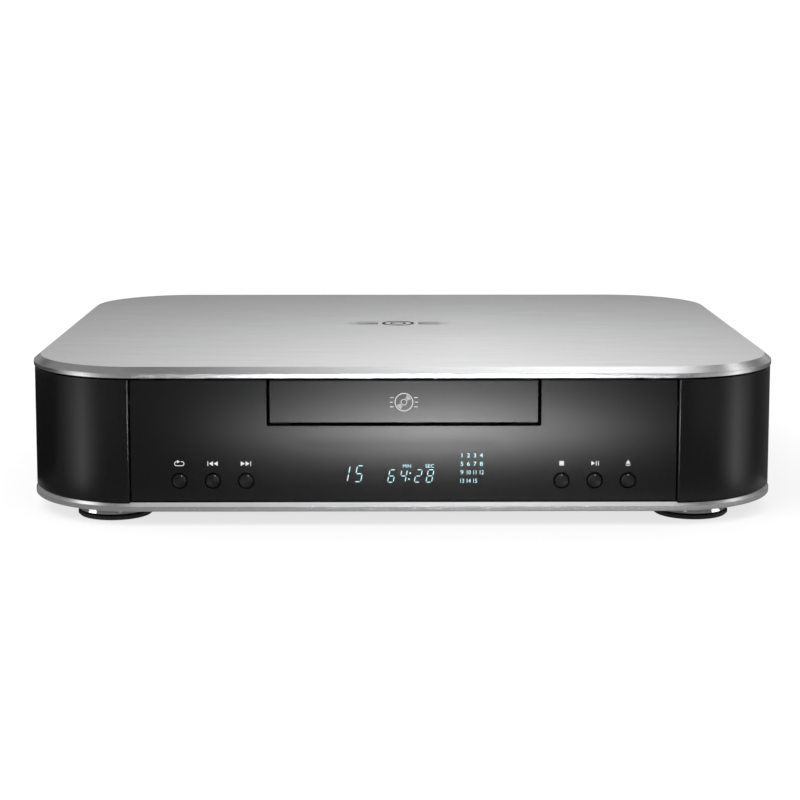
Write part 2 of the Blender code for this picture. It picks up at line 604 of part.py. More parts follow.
def make_spindle():
    profile = [(1.8, 61.7), (11.4, 61.7), (12, 61.2), (12, 50.6), (11.4, 50), (1.8, 50)]
    turned("spindle_motor", profile, "steel", (0, DISC_Y, 0), steps=20, ring=True)
    profile = [(0, HUB_TOP), (5.5, HUB_TOP), (7.2, 75.9), (7.3, TURNTABLE_Z), (14.6, TURNTABLE_Z), (15, 75.1),
               (15, 73.0), (5, 72.5), (4, 70), (1.5, 70), (1.5, 51), (0, 51)]
    turned("turntable", profile, "black_plastic", (0, DISC_Y, 0), steps=24)


def make_sled():
    """Laser sled on two rods, with a rack on its right side and a lens in a well on top."""
    sled = piece("pickup_sled", blocks(((-26.5, -84, 64), (26.5, -60, 70.3))), "black_plastic",
                 (0, LENS_Y, ROD_Z))
    combine(sled, "UNION", blocks(((-10, LENS_Y - 7, 69.5), (10, LENS_Y + 7, 73.3))))
    pitch_x = SLED_GEAR_X - SLED_RADIUS
    rack = rack_outline(SLED_MODULE, 26.0, pitch_x, SLED_GEAR_Y, -91, -48)
    combine(sled, "UNION", flat([rack], 64.3, 66.9))
    holes = rod(bmesh.new(), (0, LENS_Y, 76.8), 4.6, 10, steps=16)
    for side in (-1, 1):
        rod(holes, (side * ROD_X, -72, ROD_Z), ROD_BORE, 60, "front")
    combine(sled, "DIFFERENCE", holes)
    profile = [(0, 74.5), (2.2, 74.3), (3.6, 73.7), (3.9, 73.6), (3.9, 72.8), (0, 72.8)]
    turned("objective_lens", profile, "lens_glass", (0, LENS_Y, 0), steps=14)

    teeth = gear_outline(SLED_TEETH, SLED_MODULE, 180)
    place = (SLED_GEAR_X, SLED_GEAR_Y)
    gear = piece("sled_gear", flat([teeth], 64.2, 67.0, place), "nylon", (*place, 64.2))
    combine(gear, "UNION", rod(bmesh.new(), (*place, 58.2), 1.2, 13.0, steps=10))
    profile = [(1.5, 61.7), (8.6, 61.7), (9, 61.3), (9, 48), (1.5, 48)]
    turned("sled_motor", profile, "steel", (*place, 0), steps=16, ring=True)


def make_clamp():
    bridge = piece("clamp_bridge", blocks(((-WALL_OUT, DISC_Y - 18, 78.9), (WALL_OUT, DISC_Y + 18, 80.1))), "steel")
    combine(bridge, "DIFFERENCE", rod(bmesh.new(), (0, DISC_Y, 79), 10.5, 20, steps=24))
    profile = [(0, 82.6), (12, 82.6), (12.5, 82.2), (12.5, 80.4), (9.5, 80.4), (9.5, 78.6),
               (14, 78.6), (14, 77.5), (0, 77.5)]
    turned("clamp_puck", profile, "black_plastic", (0, DISC_Y, 0), steps=20)


# ---------------------------------------------------------------- electronics


def make_electronics():
    top = BOARD_Z + BOARD_THICK
    sunk = top - 0.5
    board = piece("main_board", blocks(((-36, 62, BOARD_Z), (138, 150, top))), "circuit_board")
    combine(board, "UNION", blocks(
        ((-10, 90, sunk), (14, 114, top + 2.5)), ((40, 84, sunk), (52, 102, top + 2.5)),
        ((80, 118, sunk), (92, 134, top + 6)), ((104, 118, sunk), (116, 134, top + 6)),
        ((60, 70, sunk), (96, 76, top + 9)),
    ))
    board = piece("power_board", blocks(((-138, 62, BOARD_Z), (-46, 150, top))), "circuit_board")
    parts = blocks(((-132, 118, sunk), (-96, 126, top + 24)), ((-62, 120, sunk), (-50, 136, top + 12)))
    for y in (80, 102):
        rod(parts, (-78, y, sunk + 15), 9.0, 30, steps=16)
    combine(board, "UNION", parts)
    low = FLOOR + GAP
    ring = [(13, low + 30), (17, low + 32), (29, low + 32), (33, low + 26), (33, low + 6),
            (29, low), (17, low), (13, low + 2)]
    turned("transformer", ring, "winding", (-108, 0, 0), steps=24, ring=True)
    dish = [(0, 51), (4, 51), (4, low + 34.3), (18, low + 33.6), (18, low + 32.3), (3, low + 32.3), (3, low), (0, low)]
    turned("transformer_bolt", dish, "steel", (-108, 0, 0), steps=12)


def main():
    make_slabs()
    make_shells()
    make_front()
    make_buttons()
    make_display()
    make_chassis()
    make_feet()
    make_rear_panel()
    make_inlet()
    make_power_switch()
    make_jacks()
    make_tray()
    make_loader_frame()
    make_gears()
    make_belt()
    make_traverse()
    make_spindle()
    make_sled()
    make_clamp()
    make_electronics()


main()
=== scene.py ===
"""The looks of the hi-fi CD player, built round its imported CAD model.

Shapes are drawn in millimetres and become metres where a mesh is made. Places come from the CAD
nodes' boxes. The front faces -Y and +Z is up, as in the CAD model.
"""

import json
import math

import bmesh
import bpy
from mathutils import Matrix, Vector


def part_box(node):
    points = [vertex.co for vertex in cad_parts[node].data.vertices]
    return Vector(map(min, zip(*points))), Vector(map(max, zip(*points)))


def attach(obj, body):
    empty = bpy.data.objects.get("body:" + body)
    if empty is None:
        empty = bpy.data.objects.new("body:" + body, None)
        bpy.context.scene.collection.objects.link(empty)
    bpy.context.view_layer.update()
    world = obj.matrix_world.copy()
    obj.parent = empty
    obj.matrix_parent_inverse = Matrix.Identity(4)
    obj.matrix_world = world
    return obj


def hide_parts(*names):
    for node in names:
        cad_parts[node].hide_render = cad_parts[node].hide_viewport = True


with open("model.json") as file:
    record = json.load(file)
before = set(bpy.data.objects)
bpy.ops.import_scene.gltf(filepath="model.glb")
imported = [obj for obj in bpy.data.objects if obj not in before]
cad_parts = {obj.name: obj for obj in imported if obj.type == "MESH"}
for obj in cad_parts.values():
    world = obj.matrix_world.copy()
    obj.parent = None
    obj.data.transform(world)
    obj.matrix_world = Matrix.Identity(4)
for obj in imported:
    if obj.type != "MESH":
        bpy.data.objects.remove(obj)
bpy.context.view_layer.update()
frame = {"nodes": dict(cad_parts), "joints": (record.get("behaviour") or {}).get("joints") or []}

MM = 0.001
CORNER = 66.0  # plan radius of the case's corners
SHELL_INSET, SHELL_WALL = 0.5, 3.0
CORNER_STEPS = 40
PRINT = 0.04  # how far printed marks stand proud


def span(node):
    """Lowest and highest corners of a CAD node, in millimetres."""
    low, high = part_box(node)
    return low / MM, high / MM


def middle(node):
    low, high = span(node)
    return (low + high) / 2


# ---------------------------------------------------------------- materials


def feed(tree, socket, value):
    """Sets an input, or links it to the output it is given."""
    if isinstance(value, bpy.types.NodeSocket):
        tree.links.new(value, socket)
    else:
        socket.default_value = value


def add(tree, kind, inputs=(), **settings):
    """Adds a shader node, with its inputs fed and its settings made."""
    node = tree.nodes.new("ShaderNode" + kind)
    for key, value in settings.items():
        setattr(node, key, value)
    for key, value in dict(inputs).items():
        feed(tree, node.inputs[key], value)
    return node


class Surface:
    """A Principled material, with short calls that add the nodes of its fine detail."""

    def __init__(self, name, colour, roughness, metallic=0.0, **sockets):
        self.material = bpy.data.materials.new(name)
        self.material.use_nodes = True
        self.tree = self.material.node_tree
        self.shader = self.tree.nodes["Principled BSDF"]
        self.colour = (*colour, 1.0)
        self.put("Base Color", self.colour)
        self.put("Roughness", roughness)
        self.put("Metallic", metallic)
        for socket, value in sockets.items():
            self.put(socket.replace("_", " "), value)

    def put(self, socket, value):
        feed(self.tree, self.shader.inputs[socket], value)

    def node(self, kind, inputs=(), **settings):
        return add(self.tree, kind, inputs, **settings)

    def place(self, stretch, generated=False):
        """The piece's own coordinates, scaled: how many features there are to a metre, along all
        three axes or each of them."""
        if not hasattr(stretch, "__len__"):
            stretch = (stretch, stretch, stretch)
        where = self.node("TexCoord").outputs["Generated" if generated else "Object"]
        return self.node("Mapping", {"Vector": where, "Scale": stretch}).outputs["Vector"]

    def noise(self, stretch, detail=2.0):
        inputs = {"Vector": self.place(stretch), "Scale": 1.0, "Detail": detail, "Distortion": 0.0}
        return self.node("TexNoise", inputs).outputs["Fac"]

    def spread(self, fac, low, high, start=0.3, end=0.7):
        """Maps a 0 to 1 pattern onto a range of values."""
        inputs = {"Value": fac, "From Min": start, "From Max": end, "To Min": low, "To Max": high}
        return self.node("MapRange", inputs).outputs["Result"]

    def math(self, operation, first, second=0.0):
        return self.node("Math", {0: first, 1: second}, operation=operation).outputs[0]

    def mix(self, fac, first, second):
        """One colour where the pattern is 0, and another where it is 1."""
        return self.node("Mix", {"Factor": fac, 6: first, 7: second}, data_type="RGBA").outputs[2]

    def shades(self, fac, low, high):
        """The base colour, made lighter and darker by a pattern."""
        dark, light = ([c * k for c in self.colour[:3]] + [1.0] for k in (low, high))
        self.put("Base Color", self.mix(fac, dark, light))

    def bump(self, height, strength, depth):
        """Relief of a pattern, its depth in millimetres."""
        inputs = {"Height": height, "Strength": strength, "Distance": depth * MM}
        self.put("Normal", self.node("Bump", inputs).outputs["Normal"])

    def tangent(self, direction):
        """The direction of a brushed finish: a vector, or Z or Y for rings about that axis."""
        if isinstance(direction, str):
            node = self.node("Tangent", direction_type="RADIAL", axis=direction)
        else:
            node = self.node("CombineXYZ", dict(zip("XYZ", direction)))
        self.put("Tangent", node.outputs[0])


def brushed_aluminium():
    """Satin sheet with its grain along X: long fine streaks, and faint broad ones from the rolling."""
    s = Surface("brushed_aluminium", (0.80, 0.80, 0.81), 0.3, 1.0, Anisotropic=0.35)
    fine = s.noise((60, 2600, 2600))
    broad = s.noise((14, 180, 180), 4.0)
    both = s.math("ADD", s.math("MULTIPLY", fine, 0.6), s.math("MULTIPLY", broad, 0.4))
    s.shades(s.spread(both, 0, 1, 0.2, 0.8), 0.88, 1.11)
    s.put("Roughness", s.spread(both, 0.25, 0.27, 0.2, 0.8))
    s.tangent((1, 0, 0))
    return s.material


def polished_aluminium():
    """Turned foot ring: fine rings and a near mirror."""
    s = Surface("polished_aluminium", (0.62, 0.62, 0.63), 0.07, 1.0)
    rings = s.noise((300, 300, 5200))
    s.shades(rings, 0.88, 1.04)
    s.put("Roughness", s.spread(s.noise(900, 3.0), 0.05, 0.10))
    return s.material


def black_anodised():
    """Bead-blasted black aluminium: a fine speckle in its gloss, relief and colour."""
    s = Surface("black_anodised", (0.0030, 0.0030, 0.0032), 0.22, 0.0, Specular_IOR_Level=0.34)
    speckle = s.noise(1300)
    cloud = s.noise(24, 3.0)
    s.shades(s.spread(speckle, 0, 1), 0.6, 1.9)
    both = s.math("ADD", s.math("MULTIPLY", speckle, 0.8), s.math("MULTIPLY", cloud, 0.2))
    s.put("Roughness", s.spread(both, 0.20, 0.24))
    s.bump(speckle, 0.14, 0.012)
    return s.material


def spun_black():
    """Button caps: black, turned on a lathe, so the gloss forms a bow tie."""
    s = Surface("spun_black", (0.004, 0.004, 0.0044), 0.4, 0.0, Anisotropic=0.95, Anisotropic_Rotation=0.25,
                Specular_IOR_Level=0.36)
    place = s.place(1, generated=True)
    centred = s.node("VectorMath", {0: place, 1: (0.5, 0.5, 0.5)}, operation="SUBTRACT")
    flat = s.node("VectorMath", {0: centred.outputs[0], 1: (1, 0, 1)}, operation="MULTIPLY")
    radius = s.node("VectorMath", {0: flat.outputs[0]}, operation="LENGTH").outputs["Value"]
    grooves = s.math("SINE", s.math("MULTIPLY", radius, 190.0))
    s.shades(s.spread(grooves, 0, 1, -1, 1), 0.7, 1.5)
    s.put("Roughness", s.spread(s.noise(1500), 0.38, 0.44))
    s.bump(grooves, 0.08, 0.01)
    s.tangent("Y")
    return s.material


def smoked_window():
    """Smoked acrylic, hard-coated to nearly the panel's satin."""
    s = Surface("smoked_window", (0.0028, 0.0028, 0.0030), 0.21, 0.0, Specular_IOR_Level=0.34)
    speckle = s.noise(1300)
    s.shades(s.spread(speckle, 0, 1), 0.7, 1.5)
    s.put("Roughness", s.spread(speckle, 0.20, 0.24))
    s.bump(speckle, 0.12, 0.012)
    return s.material


def textured(name, colour, roughness):
    """Moulded plastic or powder paint: a fine grain, with a little unevenness in its gloss."""
    s = Surface(name, colour, roughness, 0.0)
    grain = s.noise(1700)
    cloud = s.noise(30)
    s.shades(s.spread(cloud, 0, 1), 0.85, 1.15)
    s.put("Roughness", s.spread(grain, roughness - 0.07, roughness + 0.1))
    s.bump(grain, 0.22, 0.05)
    return s.material


def rubber():
    s = Surface("rubber", (0.012, 0.012, 0.0125), 0.72, 0.0, Specular_IOR_Level=0.3)
    grain = s.noise(800, 4.0)
    s.shades(s.spread(grain, 0, 1), 0.7, 1.5)
    s.put("Roughness", s.spread(grain, 0.62, 0.85))
    s.bump(grain, 0.3, 0.1)
    return s.material


def steel():
    """Zinc-plated sheet: faint rolling marks and cloudy crystals."""
    s = Surface("steel", (0.56, 0.57, 0.58), 0.32, 1.0)
    crystals = s.node("TexVoronoi", {"Vector": s.place(90), "Scale": 1.0}).outputs["Distance"]
    rolled = s.noise((60, 1100, 1100))
    s.shades(s.spread(crystals, 0, 1, 0.1, 0.8), 0.88, 1.08)
    s.put("Roughness", s.spread(rolled, 0.26, 0.42))
    s.bump(rolled, 0.1, 0.02)
    return s.material


def nylon():
    s = Surface("nylon", (0.80, 0.78, 0.71), 0.42, 0.0, Subsurface_Weight=0.15, Subsurface_Scale=0.0006)
    flow = s.noise((120, 120, 500), 3.0)
    s.shades(s.spread(flow, 0, 1), 0.93, 1.04)
    s.put("Roughness", s.spread(flow, 0.36, 0.5))
    s.bump(s.noise(1500), 0.1, 0.02)
    return s.material


def circuit_board():
    """Green solder mask over copper tracks, with pads on a 2.54 mm grid."""
    s = Surface("circuit_board", (0.008, 0.075, 0.030), 0.34, 0.0)
    tracks = s.node("TexBrick", {
        "Vector": s.place((330, 210, 330)), "Scale": 1.0, "Mortar Size": 0.09, "Mortar Smooth": 0.2,
        "Brick Width": 2.6, "Row Height": 1.0,
    }, offset=0.37).outputs["Fac"]
    pads = s.node("TexVoronoi", {"Vector": s.place(394), "Scale": 1.0, "Randomness": 0.0})
    pads = s.math("LESS_THAN", pads.outputs["Distance"], 0.24)
    masked = s.mix(tracks, s.colour, (0.018, 0.150, 0.055, 1.0))
    s.put("Base Color", s.mix(s.math("MULTIPLY", pads, tracks), masked, (0.50, 0.50, 0.48, 1.0)))
    s.put("Roughness", s.spread(s.noise(700), 0.28, 0.42))
    s.bump(tracks, 0.3, 0.04)
    return s.material


def gold_plate():
    s = Surface("gold_plate", (0.86, 0.62, 0.24), 0.2, 1.0)
    turned_marks = s.noise((600, 5000, 600))
    s.shades(turned_marks, 0.92, 1.04)
    s.put("Roughness", s.spread(turned_marks, 0.14, 0.27))
    return s.material


def winding():
    """Transformer wound in amber tape: bands that run round the core."""
    s = Surface("winding", (0.42, 0.25, 0.05), 0.34, 0.0, Coat_Weight=0.35, Coat_Roughness=0.2)
    bands = s.node("TexWave", {
        "Vector": s.place(1), "Scale": 110.0, "Distortion": 1.5, "Detail": 2.0,
    }, bands_direction="DIAGONAL").outputs["Fac"]
    s.shades(bands, 0.72, 1.15)
    s.put("Roughness", s.spread(bands, 0.28, 0.45, 0, 1))
    s.bump(bands, 0.25, 0.1)
    return s.material


def lens_glass():
    s = Surface("lens_glass", (0.22, 0.18, 0.42), 0.04, 0.0, Coat_Weight=1.0, Coat_Roughness=0.03)
    s.shades(s.spread(s.noise(140), 0, 1), 0.85, 1.15)
    return s.material


def display_glow():
    """Phosphor of a fluorescent display: blue-green, a little uneven."""
    s = Surface("display_glow", (0.05, 0.08, 0.09), 0.5, 0.0, Emission_Strength=1.25)
    grain = s.spread(s.noise(1400), 0, 1)
    s.put("Emission Color", s.mix(grain, (0.47, 0.79, 0.88, 1.0), (0.60, 0.90, 1.0, 1.0)))
    return s.material


def white_print():
    """Screen-printed ink, slightly thin at places."""
    s = Surface("white_print", (0.70, 0.70, 0.70), 0.5, 0.0, Specular_IOR_Level=0.2)
    ink = s.noise(1900)
    s.shades(s.spread(ink, 0, 1), 0.82, 1.08)
    s.bump(ink, 0.15, 0.02)
    return s.material


def engraved_dark():
    """Engraved and ink-filled marks on the cover."""
    s = Surface("engraved_dark", (0.022, 0.022, 0.023), 0.6, 0.0, Specular_IOR_Level=0.0)
    grain = s.noise((120, 1800, 1800))
    s.shades(s.spread(grain, 0, 1), 0.7, 1.6)
    s.put("Roughness", s.spread(grain, 0.5, 0.7))
    return s.material


# plastics and paint: colour and roughness
TEXTURED = {
    "black_plastic": ((0.018, 0.018, 0.019), 0.46),
    "black_paint": ((0.014, 0.014, 0.015), 0.5),
    "grey_plastic": ((0.10, 0.10, 0.105), 0.5),
    "red_plastic": ((0.42, 0.018, 0.016), 0.4),
    "white_plastic": ((0.72, 0.72, 0.70), 0.4),
    "amber_plastic": ((0.60, 0.20, 0.02), 0.4),
}
MAKERS = {maker.__name__: maker for maker in (
    brushed_aluminium, polished_aluminium, black_anodised, spun_black, smoked_window, rubber, steel, nylon,
    circuit_board, gold_plate, winding, lens_glass, display_glow, white_print, engraved_dark,
)}
# the materials made so far, one for each finish
MATERIALS = {}


def finish_with(obj, finish):
    """Gives an object its finish."""
    if finish not in MATERIALS:
        MATERIALS[finish] = textured(finish, *TEXTURED[finish]) if finish in TEXTURED else MAKERS[finish]()
    obj.data.materials.clear()
    obj.data.materials.append(MATERIALS[finish])


# ---------------------------------------------------------------- mesh tools, in millimetres

FACING = {
    "up": Matrix.Identity(4),
    "front": Matrix.Rotation(math.radians(90), 4, "X"),
    "rear": Matrix.Rotation(math.radians(180), 4, "Z") @ Matrix.Rotation(math.radians(90), 4, "X"),
    "down": Matrix.Rotation(math.radians(180), 4, "X"),
}


def fillet(points, radii, steps=5):
    """A closed outline with rounded corners: one radius for all of them, or one each."""
    if not hasattr(radii, "__len__"):
        radii = [radii] * len(points)
    rounded = []
    for n, radius in enumerate(radii):
        corner = Vector(points[n])
        if radius <= 0:
            rounded.append(corner)
            continue
        back = (Vector(points[n - 1]) - corner).normalized()
        on = (Vector(points[(n + 1) % len(points)]) - corner).normalized()
        half = back.angle(on) / 2
        centre = corner + (back + on).normalized() * radius / math.sin(half)
        start, end = (corner + way * radius / math.tan(half) - centre for way in (back, on))
        first = math.atan2(start.y, start.x)
        turn = (math.atan2(end.y, end.x) - first + math.pi) % (2 * math.pi) - math.pi
        for k in range(steps + 1):
            angle = first + turn * k / steps
            rounded.append(centre + radius * Vector((math.cos(angle), math.sin(angle))))
    return rounded


def open_fillet(points, radii, steps=4):
    """A path with rounded corners, its two ends left as they are."""
    return fillet(points, [0, *radii, 0], steps)


def rectangle(low, high):
    return [(low[0], low[1]), (high[0], low[1]), (high[0], high[1]), (low[0], high[1])]


def circle(radius, steps=32):
    angles = [2 * math.pi * n / steps for n in range(steps)]
    return [(radius * math.cos(a), radius * math.sin(a)) for a in angles]


def loft(bm, rings, closed=False):
    """Joins rings of points into one closed body; closed rings join the last to the first."""
    rows = [[bm.verts.new(point) for point in ring] for ring in rings]
    pairs = list(zip(rows, rows[1:]))
    if closed:
        pairs.append((rows[-1], rows[0]))
    faces = []
    for low, high in pairs:
        for n in range(len(low)):
            m = (n + 1) % len(low)
            faces.append(bm.faces.new((low[n], low[m], high[m], high[n])))
    if not closed:
        faces.append(bm.faces.new(list(reversed(rows[0]))))
        faces.append(bm.faces.new(rows[-1]))
    bmesh.ops.recalc_face_normals(bm, faces=faces)
    return bm


def extruded(outline, low, high, bm=None):
    """Adds a flat outline drawn out between two heights."""
    return loft(bm or bmesh.new(), [[(x, y, z) for x, y in outline] for z in (low, high)])


def box(low, high, bm=None, radius=0.0):
    """Adds a box, the edges that run along Z rounded when a radius is given."""
    outline = fillet(rectangle(low, high), radius, 4) if radius else rectangle(low, high)
    return extruded(outline, low[2], high[2], bm)


def turned(profile, steps=48, ring=False):
    """Revolves (radius, height) points about Z; a ring profile closes on itself."""
    rings = [[(x, y, z) for x, y in circle(radius, steps)] for radius, z in profile]
    return loft(bmesh.new(), rings, ring)


def moved(bm, facing="up", at=(0, 0, 0)):
    bmesh.ops.transform(bm, matrix=Matrix.Translation(at) @ FACING[facing], verts=bm.verts)
    return bm


def joined(*parts):
    """One bmesh with the faces of several, which are used up."""
    whole = bmesh.new()
    for part in parts:
        mesh = bpy.data.meshes.new("part")
        part.to_mesh(mesh)
        part.free()
        whole.from_mesh(mesh)
        bpy.data.meshes.remove(mesh)
    return whole


def combine(bm, other, operation="DIFFERENCE"):
    """Cuts one bmesh with another, or unites them, and returns the result; both are used up."""
    objects = []
    for shape in (bm, other):
        mesh = bpy.data.meshes.new("shape")
        shape.to_mesh(mesh)
        shape.free()
        objects.append(bpy.data.objects.new("shape", mesh))
        bpy.context.scene.collection.objects.link(objects[-1])
    modifier = objects[0].modifiers.new("combine", "BOOLEAN")
    modifier.operation, modifier.solver, modifier.object = operation, "EXACT", objects[1]
    bpy.context.view_layer.update()
    result = bmesh.new()
    result.from_object(objects[0], bpy.context.evaluated_depsgraph_get())
    for obj in objects:
        mesh = obj.data
        bpy.data.objects.remove(obj, do_unlink=True)
        bpy.data.meshes.remove(mesh)
    return result


def soften(obj, edge):
    """Rounds the sharp edges and keeps the flat faces flat in the shading."""
    shading_limit, bevel_limit = math.radians(50), math.radians(40)
    obj.data.shade_smooth()
    obj.data.set_sharp_from_angle(angle=shading_limit)
    if edge:
        bevel = obj.modifiers.new("edges", "BEVEL")
        bevel.width = edge * MM
        bevel.segments = 2
        bevel.limit_method = "ANGLE"
        bevel.angle_limit = bevel_limit
        bevel.miter_outer = "MITER_ARC"
        bevel.loop_slide = False
    normals = obj.modifiers.new("normals", "WEIGHTED_NORMAL")
    normals.keep_sharp = True


def piece(name, bm, finish, body="chassis", stands_for=(), edge=0.0):
    """Makes a visible piece that rides on a body, and stands for CAD nodes if any are named."""
    bmesh.ops.scale(bm, vec=(MM, MM, MM), verts=bm.verts)
    mesh = bpy.data.meshes.new(name)
    bm.to_mesh(mesh)
    bm.free()
    obj = bpy.data.objects.new(name, mesh)
    bpy.context.scene.collection.objects.link(obj)
    finish_with(obj, finish)
    soften(obj, edge)
    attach(obj, body)
    if stands_for:
        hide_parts(*stands_for)
    return obj


# ---------------------------------------------------------------- case


def plan(inset, low, high):
    """The case's outline in plan, drawn in by an inset."""
    corners = rectangle((low.x + inset, low.y + inset), (high.x - inset, high.y - inset))
    return fillet(corners, CORNER - inset, CORNER_STEPS)


def slab(node, profile):
    """A slab of the case's outline, its edge following (inset, height) points upwards."""
    low, high = span(node)
    return loft(bmesh.new(), [[(*point, z) for point in plan(inset, low, high)] for inset, z in profile])


def make_cover():
    low, high = span("top_cover")
    chamfer_in, chamfer_down = 4.0, 3.4
    edge = open_fillet(
        [(2.0, low.z), (0.0, low.z), (0.0, high.z - chamfer_down), (chamfer_in, high.z), (7.0, high.z)],
        [0.45, 0.35, 0.3])
    piece("cover", slab("top_cover", edge), "brushed_aluminium", stands_for=["top_cover"])


def vent_slots():
    """The cooling slots' cutters, in two groups of five as in the chassis."""
    cutters = bmesh.new()
    for x, y in ((-108.0, 0.0), (60.0, 100.0)):
        for n in range(-2, 3):
            centre = x + 11.0 * n
            box((centre - 2.0, y - 22.0, 0.0), (centre + 2.0, y + 22.0, 18.0), cutters, 1.9)
    return cutters


def make_base():
    low, high = span("base_plate")
    chamfer_in, chamfer_down, under = 1.75, 2.2, 0.4
    edge = open_fillet(
        [(4.0, low.z), (under, low.z), (0.0, low.z + under),
         (0.0, high.z - chamfer_down), (chamfer_in, high.z), (6.0, high.z)],
        [0.15, 0.15, 0.3, 0.25])
    base = combine(slab("base_plate", edge), vent_slots())
    piece("base", base, "brushed_aluminium", stands_for=["base_plate"])


def shell_outline(side):
    """Plan of one shell: its wall from the front seam, round both corners, to the rear flange."""
    high = span("top_cover")[1]
    seam, bay = 152.4, 158.0
    centre = Vector((high.x - CORNER, high.y - CORNER))

    def wall(radius):
        start = math.asin((seam - centre.x) / radius)
        sweep = math.pi / 2 - start
        angles = [start - math.pi / 2 + sweep * n / CORNER_STEPS for n in range(CORNER_STEPS + 1)]
        front = [(centre.x + radius * math.cos(a), -centre.y + radius * math.sin(a)) for a in angles]
        rear = [(x, -y) for x, y in reversed(front)]
        return front, rear

    # the points next to a rounded corner are left out, which makes room for its arc
    front, rear = wall(CORNER - SHELL_INSET)
    outer = [*front[2:], *rear[:-2]]
    inner_front, inner_rear = wall(CORNER - SHELL_INSET - SHELL_WALL)
    inner = [*reversed(inner_rear[:-1]), *reversed(inner_front[2:])]
    outline = [front[0], *outer, rear[-1], (seam, bay), (seam + SHELL_WALL, bay), *inner, inner_front[0]]
    radii = [1.1, *[0.0] * len(outer), 1.6, 0.6, 0.6, *[0.0] * len(inner), 0.5]
    return [(side * x, y) for x, y in fillet(outline, radii, 6)]


def make_shells():
    for name, side in (("left", -1), ("right", 1)):
        low, high = span(f"{name}_shell")
        bm = extruded(shell_outline(side), low.z, high.z)
        piece(f"{name}_side", bm, "black_anodised", stands_for=[f"{name}_shell"], edge=0.3)


# ---------------------------------------------------------------- front


def stroke(points, width, closed=False):
    """The outline of a line of even width along points."""
    count = len(points)
    sides = ([], [])
    sharpest = 0.3  # keeps a mitre short
    for n, point in enumerate(points):
        here = Vector(point)
        ways = []
        if closed or n:
            ways.append((here - Vector(points[n - 1])).normalized())
        if closed or n < count - 1:
            ways.append((Vector(points[(n + 1) % count]) - here).normalized())
        along = (ways[0] + ways[-1]).normalized()
        across = Vector((-along.y, along.x)) * width / 2 / max(sharpest, along.dot(ways[0]))
        sides[0].append(here + across)
        sides[1].append(here - across)
    return sides


def line(points, width, closed=False):
    """A bmesh of a flat line, in plan, as thin as print."""
    left, right = stroke(points, width, closed)
    rings = []
    for a, b in zip(left, right):
        rings.append([(*a, -PRINT), (*b, -PRINT), (*b, PRINT), (*a, PRINT)])
    return loft(bmesh.new(), rings, closed)


def flat(points):
    return extruded(points, -PRINT, PRINT)


def arc(radius, start, end, steps=16, centre=(0.0, 0.0)):
    angles = [math.radians(start + (end - start) * n / steps) for n in range(steps + 1)]
    return [(centre[0] + radius * math.cos(a), centre[1] + radius * math.sin(a)) for a in angles]


def triangle(x, way, width=2.25, height=2.6):
    """A play arrow that starts at x and points one way."""
    return [(x, -height / 2), (x + way * width, 0), (x, height / 2)]


def bar(x, width=0.5, height=2.6):
    return rectangle((x - width / 2, -height / 2), (x + width / 2, height / 2))


def icon_repeat():
    half, high = 1.45, 1.15
    loop = arc(high, 90, 270, 12, (-half, 0)) + arc(high, -90, 90, 12, (half, 0)) + [(0.85, high)]
    return [line(loop, 0.38), flat([(-1.25, high + 0.9), (-1.25, high - 0.9), (0.35, high)])]


def icon_skip(way):
    return [flat(triangle(way * -2.85, way)), flat(triangle(way * -0.2, way)), flat(bar(way * 2.65, 0.4))]


def icon_play():
    return [flat(triangle(-1.95, 1, 1.95, 2.5)), flat(bar(0.75, 0.42, 2.5)), flat(bar(1.95, 0.42, 2.5))]


def icon_eject():
    return [flat([(-1.3, -0.3), (1.3, -0.3), (0, 1.85)]), flat(rectangle((-1.25, -1.35), (1.25, -0.9)))]


ICONS = {
    "repeat": icon_repeat,
    "previous": lambda: icon_skip(-1),
    "next": lambda: icon_skip(1),
    "stop": lambda: [flat(bar(0, 2.55, 2.55))],
    "play": icon_play,
    "eject": icon_eject,
}
ICON_RISE = 9.8  # from a button's middle up to its icon


def make_fascia():
    low, high = span("front_fascia")
    seam = Vector((0.2, 0, 0))  # closes the joint with the shells to a hairline
    fascia = box(low - seam, high + seam)
    door_low, door_high = span("tray_door")
    window_low, window_high = span("display_window")
    gap, reach = 0.3, 4.0
    notch_side, notch_floor = 1.4, 1.45
    cuts = bmesh.new()
    box((door_low.x - notch_side, low.y - reach, door_low.z - notch_floor),
        (door_high.x + notch_side, high.y + reach, high.z + reach), cuts)
    box((window_low.x - gap, low.y - reach, window_low.z - gap),
        (window_high.x + gap, high.y + reach, window_high.z + gap), cuts)
    holes = []
    for name in ICONS:
        centre = middle(f"button_{name}")
        holes.append(moved(extruded(circle(4.4, 40), -8, 8), "front", (centre.x, low.y, centre.z)))
    fascia = combine(combine(fascia, cuts), joined(*holes))
    piece("front_panel", fascia, "black_anodised", stands_for=["front_fascia"], edge=0.4)
    for name, draw in ICONS.items():
        centre = middle(f"button_{name}")
        marks = moved(joined(*draw()), "front", (centre.x, low.y, centre.z + ICON_RISE))
        piece(f"icon_{name}", marks, "white_print")


